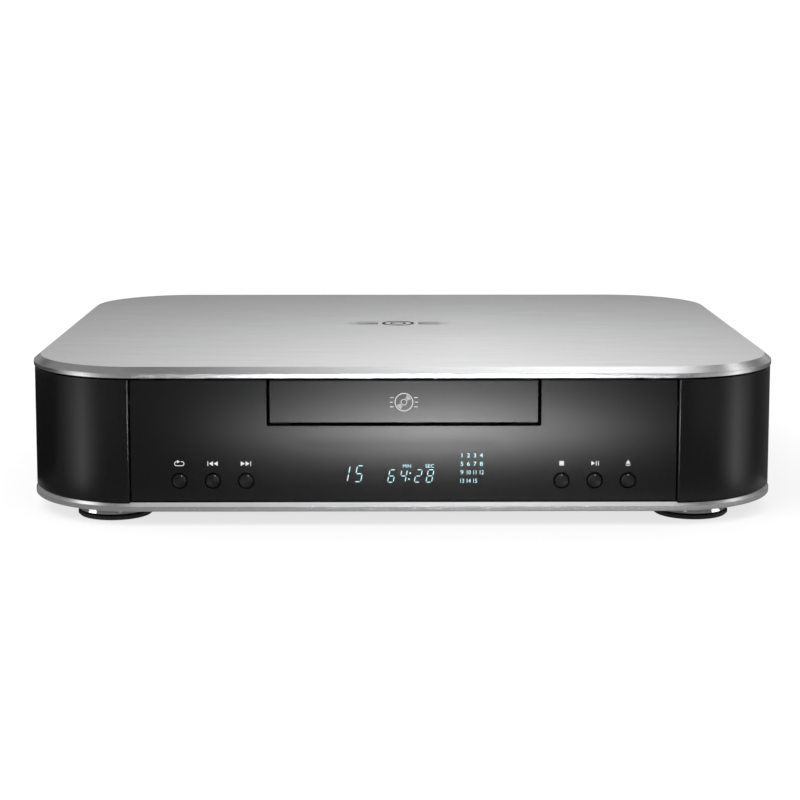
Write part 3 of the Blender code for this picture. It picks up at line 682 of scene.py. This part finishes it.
def make_door():
    low, high = span("tray_door")
    thick = 3.5
    door = box(low, (high.x, low.y + thick, high.z))
    piece("door_panel", door, "black_anodised", "tray", ["tray_door"], edge=0.4)
    rib = box((-60, low.y + thick - 0.1, low.z + 2.75), (60, high.y, low.z + 5.75))
    piece("door_rib", rib, "black_plastic", "tray", edge=0.3)
    # a disc seen face on, with the glints of its playing side
    disc = [line(circle(4.9, 48), 0.42, True), line(circle(1.6, 24), 0.36, True)]
    for start in (22, 202):
        for radius in (2.5, 3.2, 3.9):
            disc.append(line(arc(radius, start, start + 46, 10), 0.34))
    for side in (-1, 1):
        for rise, inner in ((2.6, 5.6), (0.0, 6.2), (-2.6, 5.6)):
            disc.append(line([(side * inner, rise), (side * 7.7, rise)], 0.42))
    mark = moved(joined(*disc), "front", (0, low.y, (low.z + high.z) / 2 - 0.3))
    piece("door_disc_mark", mark, "white_print", "tray")


def make_window():
    low, high = span("display_window")
    reach = Vector((0.9, 0.02, 0.9))  # laps over its opening's broken edge, so that no joint shows
    piece("window", box(low - reach, high + reach), "smoked_window", stands_for=["display_window"])


# Seven segments of a digit on a unit grid: two wide, four high
SEGMENTS = {
    "a": ((0, 4), (2, 4)), "b": ((2, 4), (2, 2)), "c": ((2, 2), (2, 0)), "d": ((0, 0), (2, 0)),
    "e": ((0, 2), (0, 0)), "f": ((0, 4), (0, 2)), "g": ((0, 2), (2, 2)),
}
DIGITS = {"1": "bc", "2": "abged", "4": "fgbc", "5": "afgcd", "6": "afgedc", "8": "abcdefg"}
SLANT = 0.2


def digit(value, x, z, width, height, weight):
    """The lit segments of one slanted digit."""
    parts = []
    for name in DIGITS[value]:
        ends = [Vector((u * width / 2, v * height / 4)) for u, v in SEGMENTS[name]]
        along = (ends[1] - ends[0]).normalized()
        gap = along * weight * 1.45
        ends = [ends[0] + gap, ends[1] - gap]
        across = Vector((-along.y, along.x)) * weight / 2
        tip = along * weight / 2
        outline = [ends[0] - tip, ends[0] + across, ends[1] + across, ends[1] + tip, ends[1] - across,
                   ends[0] - across]
        parts.append(flat([(x + p.x + SLANT * p.y, z + p.y) for p in outline]))
    return parts


def lettering(text, x, z, height, weight=0.0, stretch=1.0):
    """Small figures in Blender's own typeface, centred at a point, drawn bolder or wider at will."""
    curve = bpy.data.curves.new("figures", "FONT")
    curve.body = text
    curve.size = height / 0.72  # a capital is 0.72 of the size
    curve.align_x = "CENTER"
    curve.extrude = PRINT
    curve.offset = weight
    curve.resolution_u = 3
    obj = bpy.data.objects.new("figures", curve)
    bpy.context.scene.collection.objects.link(obj)
    bpy.context.view_layer.update()
    mesh = bpy.data.meshes.new_from_object(obj.evaluated_get(bpy.context.evaluated_depsgraph_get()))
    bpy.data.objects.remove(obj, do_unlink=True)
    bm = bmesh.new()
    bm.from_mesh(mesh)
    bpy.data.meshes.remove(mesh)
    bmesh.ops.remove_doubles(bm, verts=bm.verts, dist=1e-4)
    bmesh.ops.scale(bm, vec=(stretch, 1, 1), verts=bm.verts)
    return moved(bm, "up", (x, z - height / 2, 0))


def make_display():
    """The lit figures: track, minutes and seconds, and a calendar of fifteen tracks."""
    front = span("display_window")[0].y
    lit = []
    for value, x in (("1", -35.1), ("5", -27.6)):
        lit += digit(value, x, 25.1, 3.5, 9.0, 0.45)
    for value, x in (("6", -9.1), ("4", -2.5), ("2", 5.75), ("8", 12.25)):
        lit += digit(value, x, 24.8, 3.1, 7.0, 0.42)
    for x, z in ((2.85, 26.5), (3.5, 29.9)):
        lit.append(moved(flat(bar(0, 0.75, 0.75)), "up", (x, z, 0)))
    for unit, x, stretch in (("MIN", 1.7, 0.97), ("SEC", 14.4, 1.12)):
        lit.append(lettering(unit, x, 34.0, 2.0, -0.015, stretch))
    left, top, across, down, figure = 32.3, 40.0, 3.6, 4.8, 2.4
    for track in range(15):
        x, z = left + across * (track % 4), top - down * (track // 4)
        lit.append(lettering(str(track + 1), x, z, figure, 0.0, 1.15 if track < 9 else 0.84))
    figures = moved(joined(*lit), "front", (0, front, 0))
    piece("display_figures", figures, "display_glow")


def make_buttons():
    """Spun caps, slightly dished, with a flange behind the panel, and a painted highlight on each: a small
    white dot near the top where the rim's glint shows.
    """
    front = span("front_fascia")[0].y
    cap, flange, flange_front = 3.75, 5.0, -3.3
    for name in ICONS:
        low, high = span(f"button_{name}")
        centre = (low + high) / 2
        proud, back = front - low.y, front - high.y
        edge = open_fillet(
            [(0.3, back), (flange, back), (flange, flange_front), (cap, flange_front), (cap, proud),
             (0.3, proud - 0.12)], [0.2, 0.2, 0.15, 0.3], 4)
        spun = moved(turned(edge, 56), "front", (centre.x, front, centre.z))
        piece(f"cap_{name}", spun, "spun_black", f"button_{name}", [f"button_{name}"])
        # painted highlight: the rim's glint drawn as a white dot, right of the top on the left-hand caps
        # and at the top on the right-hand ones
        glint_at = Vector((1.3, 2.95)) if centre.x < 0 else Vector((0.1, 3.2))
        painted_glint = flat([glint_at + Vector(point) for point in circle(0.24, 16)])
        painted_glint = moved(painted_glint, "front", (centre.x, low.y - 0.02, centre.z))
        piece(f"pip_{name}", painted_glint, "white_print", f"button_{name}")


# ---------------------------------------------------------------- feet and cover mark


def make_feet():
    for place in ("front_left", "front_right", "rear_left", "rear_right"):
        low, high = span(f"foot_ring_{place}")
        centre, radius = (low + high) / 2, (high.x - low.x) / 2
        at = (centre.x, centre.y, 0)
        groove, rim = low.z + 1.5, radius - 1.0
        outline = [
            (2.4, low.z), (rim - 0.5, low.z), (rim, low.z + 0.6), (rim, groove),
            (rim - 0.35, groove + 0.2), (rim - 0.35, groove + 0.5), (rim, groove + 0.7),
            (rim, high.z - 0.5), (rim - 0.5, high.z), (2.4, high.z),
        ]
        ring = turned(fillet(outline, [0, 0.2, 0.2, 0.1, 0.1, 0.1, 0.1, 0.15, 0.15, 0], 3), 96, True)
        piece(f"foot_{place}", moved(ring, "up", at), "polished_aluminium",
              stands_for=[f"foot_ring_{place}"])
        top = span(f"foot_pad_{place}")[1].z
        edge = open_fillet([(0.3, 0.0), (radius - 1.2, 0.0), (radius, 1.1), (radius, top), (0.3, top)],
                           [0.6, 0.5, 0.3], 4)
        piece(f"pad_{place}", moved(turned(edge, 72), "up", at), "rubber",
              stands_for=[f"foot_pad_{place}"])


def make_cover_mark():
    """A plain engraved ornament on the cover: a ring between two tapering lines."""
    top = span("top_cover")[1].z
    marks = []
    for radius, width in ((9.5, 1.9), (4.6, 1.5)):
        marks.append(line(circle(radius, 64), width, True))
    for side in (-1, 1):
        near, far, short = side * 13.0, side * 33.0, side * 27.0
        marks.append(flat([(near, -1.7), (far, -0.3), (far, 0.3), (near, 1.7)]))
        marks += [line([(near, y), (short, y)], 0.9) for y in (-5.5, 5.5)]
    piece("cover_mark", moved(joined(*marks), "up", (-2.0, 12.0, top)), "engraved_dark")


# ---------------------------------------------------------------- rear


def screw(radius, height):
    """Domed screw head with a cross recess, standing on the surface at height 0."""
    axis, rim, foot, recess = 0.05, 0.35, -0.2, 0.9
    angles = (0.5, 0.9, 1.25, math.pi / 2)
    dome = [(radius * math.sin(a), rim + (height - rim) * math.cos(a)) for a in angles]
    head = turned([(axis, foot), (radius, foot), *reversed(dome), (axis, height)], 32)
    arm, reach = radius * 0.14, radius * 0.55
    cross = box((-reach, -arm, height - recess), (reach, arm, height + 1))
    box((-arm, -reach, height - recess), (arm, reach, height + 1), cross)
    return combine(head, cross)


def screws(name, places, facing, radius=2.6, height=1.5, finish="steel"):
    heads = [moved(screw(radius, height), facing, at) for at in places]
    piece(name, joined(*heads), finish)


def make_rear():
    low, high = span("rear_panel")
    inlet, switch = middle("power_inlet"), middle("power_switch")
    optical = middle("optical_output")
    face = high.y
    cuts = bmesh.new()
    for centre, half_x, half_z in ((inlet, 14.0, 10.3), (switch, 13.8, 9.8), (optical, 5.3, 5.3)):
        half = Vector((half_x, 0, half_z))
        at = Vector((centre.x, face, centre.z))
        box(at - half - Vector((0, 10, 0)), at + half + Vector((0, 10, 0)), cuts)
    holes = []
    for name in JACK_COLOURS:
        centre = middle(name)
        holes.append(moved(extruded(circle(5.0, 32), -12, 12), "front", (centre.x, face, centre.z)))
    panel = combine(combine(box(low, high), cuts), joined(*holes))
    piece("back_panel", panel, "black_paint", stands_for=["rear_panel"], edge=0.25)
    corners = [(x, face, z) for x in (-144, 144) for z in (low.z + 7, high.z - 7)]
    corners += [(0, face, low.z + 7), (0, face, high.z - 7)]
    screws("rear_screws", corners, "rear")

    # white lines that group the sockets: a plain frame round the outputs, and one round the mains
    marks = []
    for left, right, under, over in ((38, 118, 22, 68), (-142, -44, 20, 56)):
        frame_line = fillet(rectangle((-right, under), (-left, over)), 4.0, 6)
        marks.append(moved(line(frame_line, 0.5, True), "rear", (0, face, 0)))
    piece("rear_print", joined(*marks), "white_print")


def fitting(node, thick, corner, half_x, half_z, lap):
    """A flange of rounded plan on the rear panel, made one with the housing behind it. Returns
    the shape, its middle and how far back it stands."""
    low, high = span(node)
    centre, out = (low + high) / 2, high.y
    flange = moved(box((low.x, low.z, 0), (high.x, high.z, thick), None, corner), "front", (0, out, 0))
    housing = box((centre.x - half_x, low.y, centre.z - half_z),
                  (centre.x + half_x, out - lap, centre.z + half_z))
    return combine(flange, housing, "UNION"), centre, out


def make_inlet():
    """Mains inlet: a flange, a mouth with two cut corners, three flat pins, two screws."""
    body, centre, out = fitting("power_inlet", 2.2, 3.0, 13.6, 9.9, 0.6)
    mouth = fillet([(-12, -8), (12, -8), (12, 4.2), (8.2, 8), (-8.2, 8), (-12, 4.2)], 1.2, 4)
    mouth = moved(extruded(mouth, -16, 4), "rear", (centre.x, out, centre.z))
    body = combine(body, mouth)
    piece("inlet", body, "black_plastic", stands_for=["power_inlet"], edge=0.35)
    pins = []
    for x, z in ((-7.0, -1.5), (0.0, 2.5), (7.0, -1.5)):
        pin = box((x - 1.0, z - 2.0, -15.5), (x + 1.0, z + 2.0, -5.5))
        pins.append(moved(pin, "rear", (centre.x, out, centre.z)))
    piece("inlet_pins", joined(*pins), "steel", edge=0.4)
    screws("inlet_screws", [(centre.x + side * 19.5, out, centre.z) for side in (-1, 1)], "rear", 2.3, 1.2)


def make_switch():
    """Switch housing and its rocker, with the usual line and ring for on and off."""
    body, centre, out = fitting("power_switch", 1.8, 2.0, 13.4, 9.4, 0.6)
    well_floor = 158.2
    well = box((centre.x - 10.6, well_floor, centre.z - 6.4), (centre.x + 10.6, out + 4, centre.z + 6.4))
    piece("switch_housing", combine(body, well), "black_plastic", stands_for=["power_switch"], edge=0.35)

    joint = next(j for j in frame["joints"] if j["name"] == "power_rock")
    pivot = Vector(joint["pos_m"]) / MM
    tilt = math.radians(8.0)
    outline = [(-4.6, 4.35), (0.0, 4.0), (4.6, 4.35), (9.4, 5.4), (7.5, -1.0), (-7.5, -1.0), (-9.4, 5.4)]
    rocker = extruded(outline, -6.0, 6.0)
    marks = []
    for side, mark in ((-1, line(circle(1.4, 24), 0.35, True)), (1, flat(bar(0, 0.4, 2.8)))):
        mark = moved(mark, "rear")
        slope = Matrix.Rotation(side * math.radians(12.3), 4, "Z")
        slope = Matrix.Translation((side * 6.0, 4.7, 0)) @ slope
        bmesh.ops.transform(mark, matrix=slope, verts=mark.verts)
        marks.append(mark)
    marks = joined(*marks)
    turn = Matrix.Translation((pivot.x, pivot.y, centre.z)) @ Matrix.Rotation(tilt, 4, "Z")
    for part in (rocker, marks):
        bmesh.ops.transform(part, matrix=turn, verts=part.verts)
    piece("rocker", rocker, "black_plastic", "power_rocker", ["power_rocker"], edge=0.4)
    piece("rocker_marks", marks, "white_print", "power_rocker")


JACK_COLOURS = {
    "rca_output_left": "white_plastic", "rca_output_right": "red_plastic", "coax_output": "amber_plastic",
}


def make_jacks():
    """Phono sockets: a plated barrel, a hexagonal nut, a coloured ring and a contact; and the
    optical socket with its shutter."""
    face = span("rear_panel")[1].y
    for name, colour in JACK_COLOURS.items():
        low, high = span(name)
        centre = (low + high) / 2
        reach = high.y - face
        at = (centre.x, face, centre.z)
        outline = [(3.1, 2.2), (4.1, 2.2), (4.1, reach - 0.3), (3.8, reach), (3.1, reach)]
        barrel = turned(fillet(outline, [0, 0.15, 0.2, 0.2, 0.2], 3), 48, True)
        nut = combine(extruded(circle(6.4, 6), 0.35, 2.0), extruded(circle(3.3, 32), -1, 6))
        contact = turned([(0.85, 0.9), (1.25, 0.9), (1.25, 7.2), (0.85, 7.2)], 24, True)
        rear_body = extruded(circle(6.2, 24), -11.0, -1.8)
        neck = extruded(circle(4.6, 32), -1.9, 0.36)
        metal = moved(joined(barrel, nut, contact), "rear", at)
        piece(f"jack_{name}", metal, "gold_plate", stands_for=[name], edge=0.15)
        insulator = turned(fillet([(1.35, 0.6), (3.05, 0.6), (3.05, 7.6), (1.35, 7.6)], 0.15, 2), 40, True)
        piece(f"ring_{name}", moved(insulator, "rear", at), colour)
        piece(f"body_{name}", moved(joined(rear_body, neck), "rear", at), "black_plastic", edge=0.2)

    body, centre, out = fitting("optical_output", 1.2, 1.5, 5.0, 5.0, 0.4)
    mouth = fillet([(-2.8, -2.8), (2.8, -2.8), (2.8, 1.4), (1.4, 2.8), (-1.4, 2.8), (-2.8, 1.4)], 0.3, 2)
    body = combine(body, moved(extruded(mouth, -6.5, 4), "rear", (centre.x, out, centre.z)))
    piece("optical_socket", body, "black_plastic", stands_for=["optical_output"], edge=0.25)
    shutter = moved(box((-2.4, -2.4, -6.4), (2.4, 2.0, -5.9)), "rear", (centre.x, out, centre.z))
    piece("optical_shutter", shutter, "grey_plastic", edge=0.15)


# ---------------------------------------------------------------- tray


def make_tray():
    """Disc tray: a stepped well for both disc sizes, a slot for the laser, finger scoops, its rack."""
    low, high = span("disc_tray")
    disc_y = middle("turntable").y
    body_low = 71.0
    tray = extruded(fillet(rectangle(low, high), 4.0, 6), body_low, high.z)
    above = 90.0
    well_floor, small_floor = 73.0, 72.2
    for radius, steps, floor in ((61.5, 128, well_floor), (41.5, 96, small_floor)):
        tray = combine(tray, moved(extruded(circle(radius, steps), floor, above), "up", (0, disc_y, 0)))
    scoops = []
    for side in (-1, 1):
        scoop = fillet(rectangle((side * 60 - 6.5, disc_y - 11), (side * 60 + 6.5, disc_y + 11)), 5.0, 6)
        scoops.append(extruded(scoop, well_floor, above))
    tray = combine(tray, joined(*scoops))
    slot = fillet(rectangle((-22, disc_y - 22), (22, high.y + 40)), 21.9, 12)
    tray = combine(tray, extruded(slot, 60.0, above))
    piece("tray", tray, "black_plastic", "tray", ["disc_tray"], edge=0.35)

    # the rack under its left side, which the drive gear pulls
    module, pitch_x, gear_y = 1.5, -58.0, -146.0
    back_x = pitch_x - 5.0
    pitch = math.pi * module
    first, last = math.ceil((-156 - gear_y) / pitch), math.floor((4 - gear_y) / pitch)
    outline = [(back_x, gear_y + first * pitch), (back_x, gear_y + last * pitch)]
    tip, root, half, slope = 0.75 * module, -module, 0.66 * module, math.tan(math.radians(22))
    for n in range(last - 1, first - 1, -1):
        centre = gear_y + (n + 0.5) * pitch
        for along, out in ((-half + root * slope, root), (-half + tip * slope, tip),
                           (half - tip * slope, tip), (half - root * slope, root)):
            outline.append((pitch_x + out, centre - along))
    rack = extruded(outline, 66.7, body_low + 0.1)
    piece("tray_rack", rack, "black_plastic", "tray")


# ---------------------------------------------------------------- what keeps its CAD shape

KEPT = {
    "steel": (
        "chassis", "clamp_bridge", "corner_post_front_left", "corner_post_front_right",
        "corner_post_rear_left", "corner_post_rear_right", "guide_rod_left", "guide_rod_right",
        "loader_motor", "motor_pulley", "sled_motor", "spindle_motor", "transformer_bolt",
        "traverse_plate"),
    "black_plastic": ("clamp_puck", "loader_frame", "pickup_sled", "turntable"),
    "circuit_board": ("display_module", "key_board_left", "key_board_right", "main_board", "power_board"),
    "nylon": ("drive_gear", "pulley_gear", "sled_gear"),
    "rubber": ("loader_belt",),
    "lens_glass": ("objective_lens",),
    "winding": ("transformer",),
}


def keep_cad_nodes():
    for finish, names in KEPT.items():
        for name in names:
            finish_with(frame["nodes"][name], finish)


# ---------------------------------------------------------------- studio


def glow(name, strength, falloff=None):
    """Emission for a light card: even, or fading from its middle to its edge (RIDGE: to its two sides)."""
    material = bpy.data.materials.new(name)
    material.use_nodes = True
    tree = material.node_tree
    tree.nodes.clear()
    if falloff:
        ridge = falloff == "RIDGE"
        place = add(tree, "TexCoord").outputs["Object"]
        flatten = add(tree, "VectorMath", {0: place, 1: (1, 0 if ridge else 1, 0)}, operation="MULTIPLY")
        fade = add(tree, "TexGradient", {"Vector": flatten.outputs[0]},
                   gradient_type="SPHERICAL" if ridge else falloff)
        strength = add(tree, "Math", {0: fade.outputs["Fac"], 1: strength}, operation="MULTIPLY").outputs[0]
    emission = add(tree, "Emission", {"Strength": strength})
    add(tree, "OutputMaterial", {"Surface": emission.outputs[0]})
    return material


def reflected_only(obj):
    """Shows in reflections and nowhere else."""
    bpy.context.scene.collection.objects.link(obj)
    obj.visible_camera = obj.visible_diffuse = obj.visible_shadow = False
    obj.visible_transmission = obj.visible_volume_scatter = False


def card(name, at, size, strength, turn=(0, 0, 0), falloff=None, taper=1.0):
    """A light card seen only in reflections; at and size are in metres, and it faces its own +Z.
    taper is how wide its near end is, next to its far end."""
    mesh = bpy.data.meshes.new(name)
    mesh.from_pydata([(-taper, 1, 0), (taper, 1, 0), (1, -1, 0), (-1, -1, 0)], [], [(3, 2, 1, 0)])
    mesh.materials.append(glow(name, strength, falloff))
    obj = bpy.data.objects.new(name, mesh)
    obj.location = at
    obj.scale = (size[0] / 2, size[1] / 2, 1)
    obj.rotation_euler = [math.radians(a) for a in turn]
    reflected_only(obj)


def apron(name, inner, outer, strength, height, middle_x=0.0, reach=None):
    """A band on the floor that follows the case's outline, between two distances from it. With a reach in
    metres it is brightest at middle_x and fades to both sides."""
    low, high = span("base_plate")
    rings = [plan(-distance, low, high) for distance in (inner, outer)]
    count = len(rings[0])
    scale = reach or 1.0
    corners = [((x * MM - middle_x) / scale, y * MM, 0) for ring in rings for x, y in ring]
    faces = [(n, (n + 1) % count, count + (n + 1) % count, count + n) for n in range(count)]
    mesh = bpy.data.meshes.new(name)
    mesh.from_pydata(corners, [], faces)
    mesh.materials.append(glow(name, strength, "RIDGE" if reach else None))
    obj = bpy.data.objects.new(name, mesh)
    obj.location = (middle_x, 0, height)
    obj.scale = (scale, 1, 1)
    reflected_only(obj)


def area(name, at, target, size, power):
    """A soft area light at a point in metres, aimed at another."""
    light = bpy.data.lights.new(name, "AREA")
    light.shape = "RECTANGLE"
    light.size, light.size_y = size
    light.energy = power
    obj = bpy.data.objects.new(name, light)
    bpy.context.scene.collection.objects.link(obj)
    obj.location = at
    obj.rotation_euler = (Vector(target) - Vector(at)).to_track_quat("-Z", "Y").to_euler()
    obj.visible_camera = False
    obj.visible_glossy = False


GLOSSY_FLOOR = 0.155  # what a reflection sees of the floor
GLOSSY_SKY = 0.25  # and of the room above
FLOOR_HALF = 60.0
FLOOR_LIFT = 0.72  # how much of the floor's white is its own, and takes no shadow
ROOM, BACKDROP = 1.18, 1.1  # the soft light all round, and what the camera sees behind the floor


def make_floor():
    """Large pale floor; in reflections it is a mid grey, as a floor under flags would be."""
    mesh = bpy.data.meshes.new("floor")
    bm = bmesh.new()
    bmesh.ops.create_grid(bm, x_segments=1, y_segments=1, size=FLOOR_HALF)
    bm.to_mesh(mesh)
    bm.free()
    floor = bpy.data.objects.new("floor", mesh)
    bpy.context.scene.collection.objects.link(floor)
    material = bpy.data.materials.new("floor")
    material.use_nodes = True
    tree = material.node_tree
    shader = tree.nodes["Principled BSDF"]
    matt = {"Base Color": (0.9, 0.9, 0.9, 1), "Roughness": 0.9, "Specular IOR Level": 0.0}
    for socket, value in matt.items():
        feed(tree, shader.inputs[socket], value)
    lit, dim = (add(tree, "Emission", {"Strength": strength}) for strength in (1.0, GLOSSY_FLOOR))
    pale = add(tree, "MixShader", {0: FLOOR_LIFT, 1: shader.outputs[0], 2: lit.outputs[0]})
    mirrored = add(tree, "LightPath").outputs["Is Glossy Ray"]
    mix = add(tree, "MixShader", {0: mirrored, 1: pale.outputs[0], 2: dim.outputs[0]})
    tree.links.new(mix.outputs[0], tree.nodes["Material Output"].inputs["Surface"])
    mesh.materials.append(material)


def make_world():
    """White to the camera, bright for soft light, and dim in reflections so that the cards show."""
    world = bpy.data.worlds.new("studio")
    bpy.context.scene.world = world
    world.use_nodes = True
    tree = world.node_tree
    background = tree.nodes["Background"]
    background.inputs["Color"].default_value = (1, 1, 1, 1)
    path = add(tree, "LightPath").outputs
    soft = add(tree, "Mix", {0: path["Is Glossy Ray"], 2: ROOM, 3: GLOSSY_SKY})
    seen = add(tree, "Mix", {0: path["Is Camera Ray"], 2: soft.outputs[0], 3: BACKDROP})
    tree.links.new(seen.outputs[0], background.inputs["Strength"])


def wedge(name, side, surface, azimuth, half_angle, strength, height):
    """A wedge on the floor, out from one corner: surface is where on the corner its glint lies."""
    low, high = span("top_cover")
    radius = (CORNER - SHELL_INSET) * MM
    turn, aim = math.radians(surface), math.radians(azimuth)
    start_x = side * ((high.x - CORNER) * MM + radius * math.sin(turn))
    start_y = (low.y + CORNER) * MM - radius * math.cos(turn)
    start = Vector((start_x, start_y, height))
    way = Vector((side * math.sin(aim), -math.cos(aim), 0))
    near, far = 0.085, 0.6
    size = (2 * far * math.tan(math.radians(half_angle)), far - near)
    card(name, start + way * (near + far) / 2, size, strength, (0, 0, side * azimuth), taper=near / far)


def make_lights():
    """Each card is named for what mirrors it, or for where it stands."""
    card("front_card", (0.026, -0.430, 0.004), (0.41, 0.11), 88.0, falloff="QUADRATIC_SPHERE")
    card("back_card", (0.06, 0.45, 0.495), (1.54, 0.64), 1.16, (90, 0, 0), "RIDGE")
    card("top_card", (0.142, -0.15, 0.55), (0.71, 0.7), 1.6, (180, 0, 0), "SPHERICAL")
    card("fill_card", (0.15, -1.5, 0.9), (2.0, 1.0), 0.6, (-115, 0, 180), "SPHERICAL")
    card("lip_card", (0.045, -0.45, 0.5), (1.04, 0.24), 1.1, (180, 0, 0), "RIDGE")
    card("button_card", (-0.01, -0.6, 0.085), (0.12, 0.04), 11.0, (-90, 0, 180))
    card("left_side_card", (-0.45, -0.216, 0.30), (0.12, 0.12), 1.7, (0, 135, 0))
    card("right_side_card", (0.46, -0.08, 0.32), (0.17, 0.17), 1.6, (0, -135, 0))
    apron("near_apron", -4.0, 44.0, 0.22, 0.0005)
    apron("apron", 44.0, 70.0, 0.94, 0.0006, 0.08, 0.373)
    card("left_band_card", (-0.46, -0.48, 0.0007), (0.36, 0.30), 0.36, (0, 0, -42))
    card("right_band_card", (0.50, -0.46, 0.0007), (0.30, 0.30), 0.52, (0, 0, 48))
    card("left_glint", (-0.1834, -0.1579, 0.0027), (0.0093, 0.0026), 2.6, (90, 0, -50.6))
    card("right_glint", (0.1849, -0.1555, 0.0026), (0.0104, 0.0026), 2.6, (90, 0, 58.0))
    for name, side, surface, azimuth in (("left", -1, 27.0, 65.0), ("right", 1, 35.0, 80.0)):
        for n, (half_angle, strength) in enumerate(((26.0, 0.4), (18.0, 0.8), (11.0, 1.2), (5.0, 1.8))):
            wedge(f"{name}_card_{n}", side, surface, azimuth, half_angle, strength, 0.0025 + 0.0002 * n)
    wedge("left_flag", -1, 60.0, 138.0, 42.0, 0.01, 0.0012)
    wedge("right_flag", 1, 60.0, 145.0, 35.0, 0.10, 0.0012)
    area("key", (-0.9, -1.1, 1.5), (0, 0, 0.05), (1.0, 1.0), 14.0)


def make_camera():
    """Stands 1.05 m in front of the panel and 0.25 m up; a little lens shift keeps the uprights
    nearly upright."""
    data = bpy.data.cameras.new("camera")
    data.sensor_width = 36.0
    data.lens = 86.143
    data.shift_y = -0.12415
    data.clip_end = 200.0
    camera = bpy.data.objects.new("camera", data)
    bpy.context.scene.collection.objects.link(camera)
    camera.location = (-0.01034, -1.21916, 0.25267)
    camera.rotation_euler = (math.pi / 2 - 0.12, -0.0003, -0.00775)
    bpy.context.scene.camera = camera


def main():
    bpy.context.scene.view_settings.view_transform = "Standard"
    make_camera()
    make_floor()
    make_world()
    make_lights()
    make_cover()
    make_cover_mark()
    make_base()
    make_shells()
    make_fascia()
    make_door()
    make_window()
    make_display()
    make_buttons()
    make_feet()
    make_rear()
    make_inlet()
    make_switch()
    make_jacks()
    make_tray()
    keep_cad_nodes()


main()
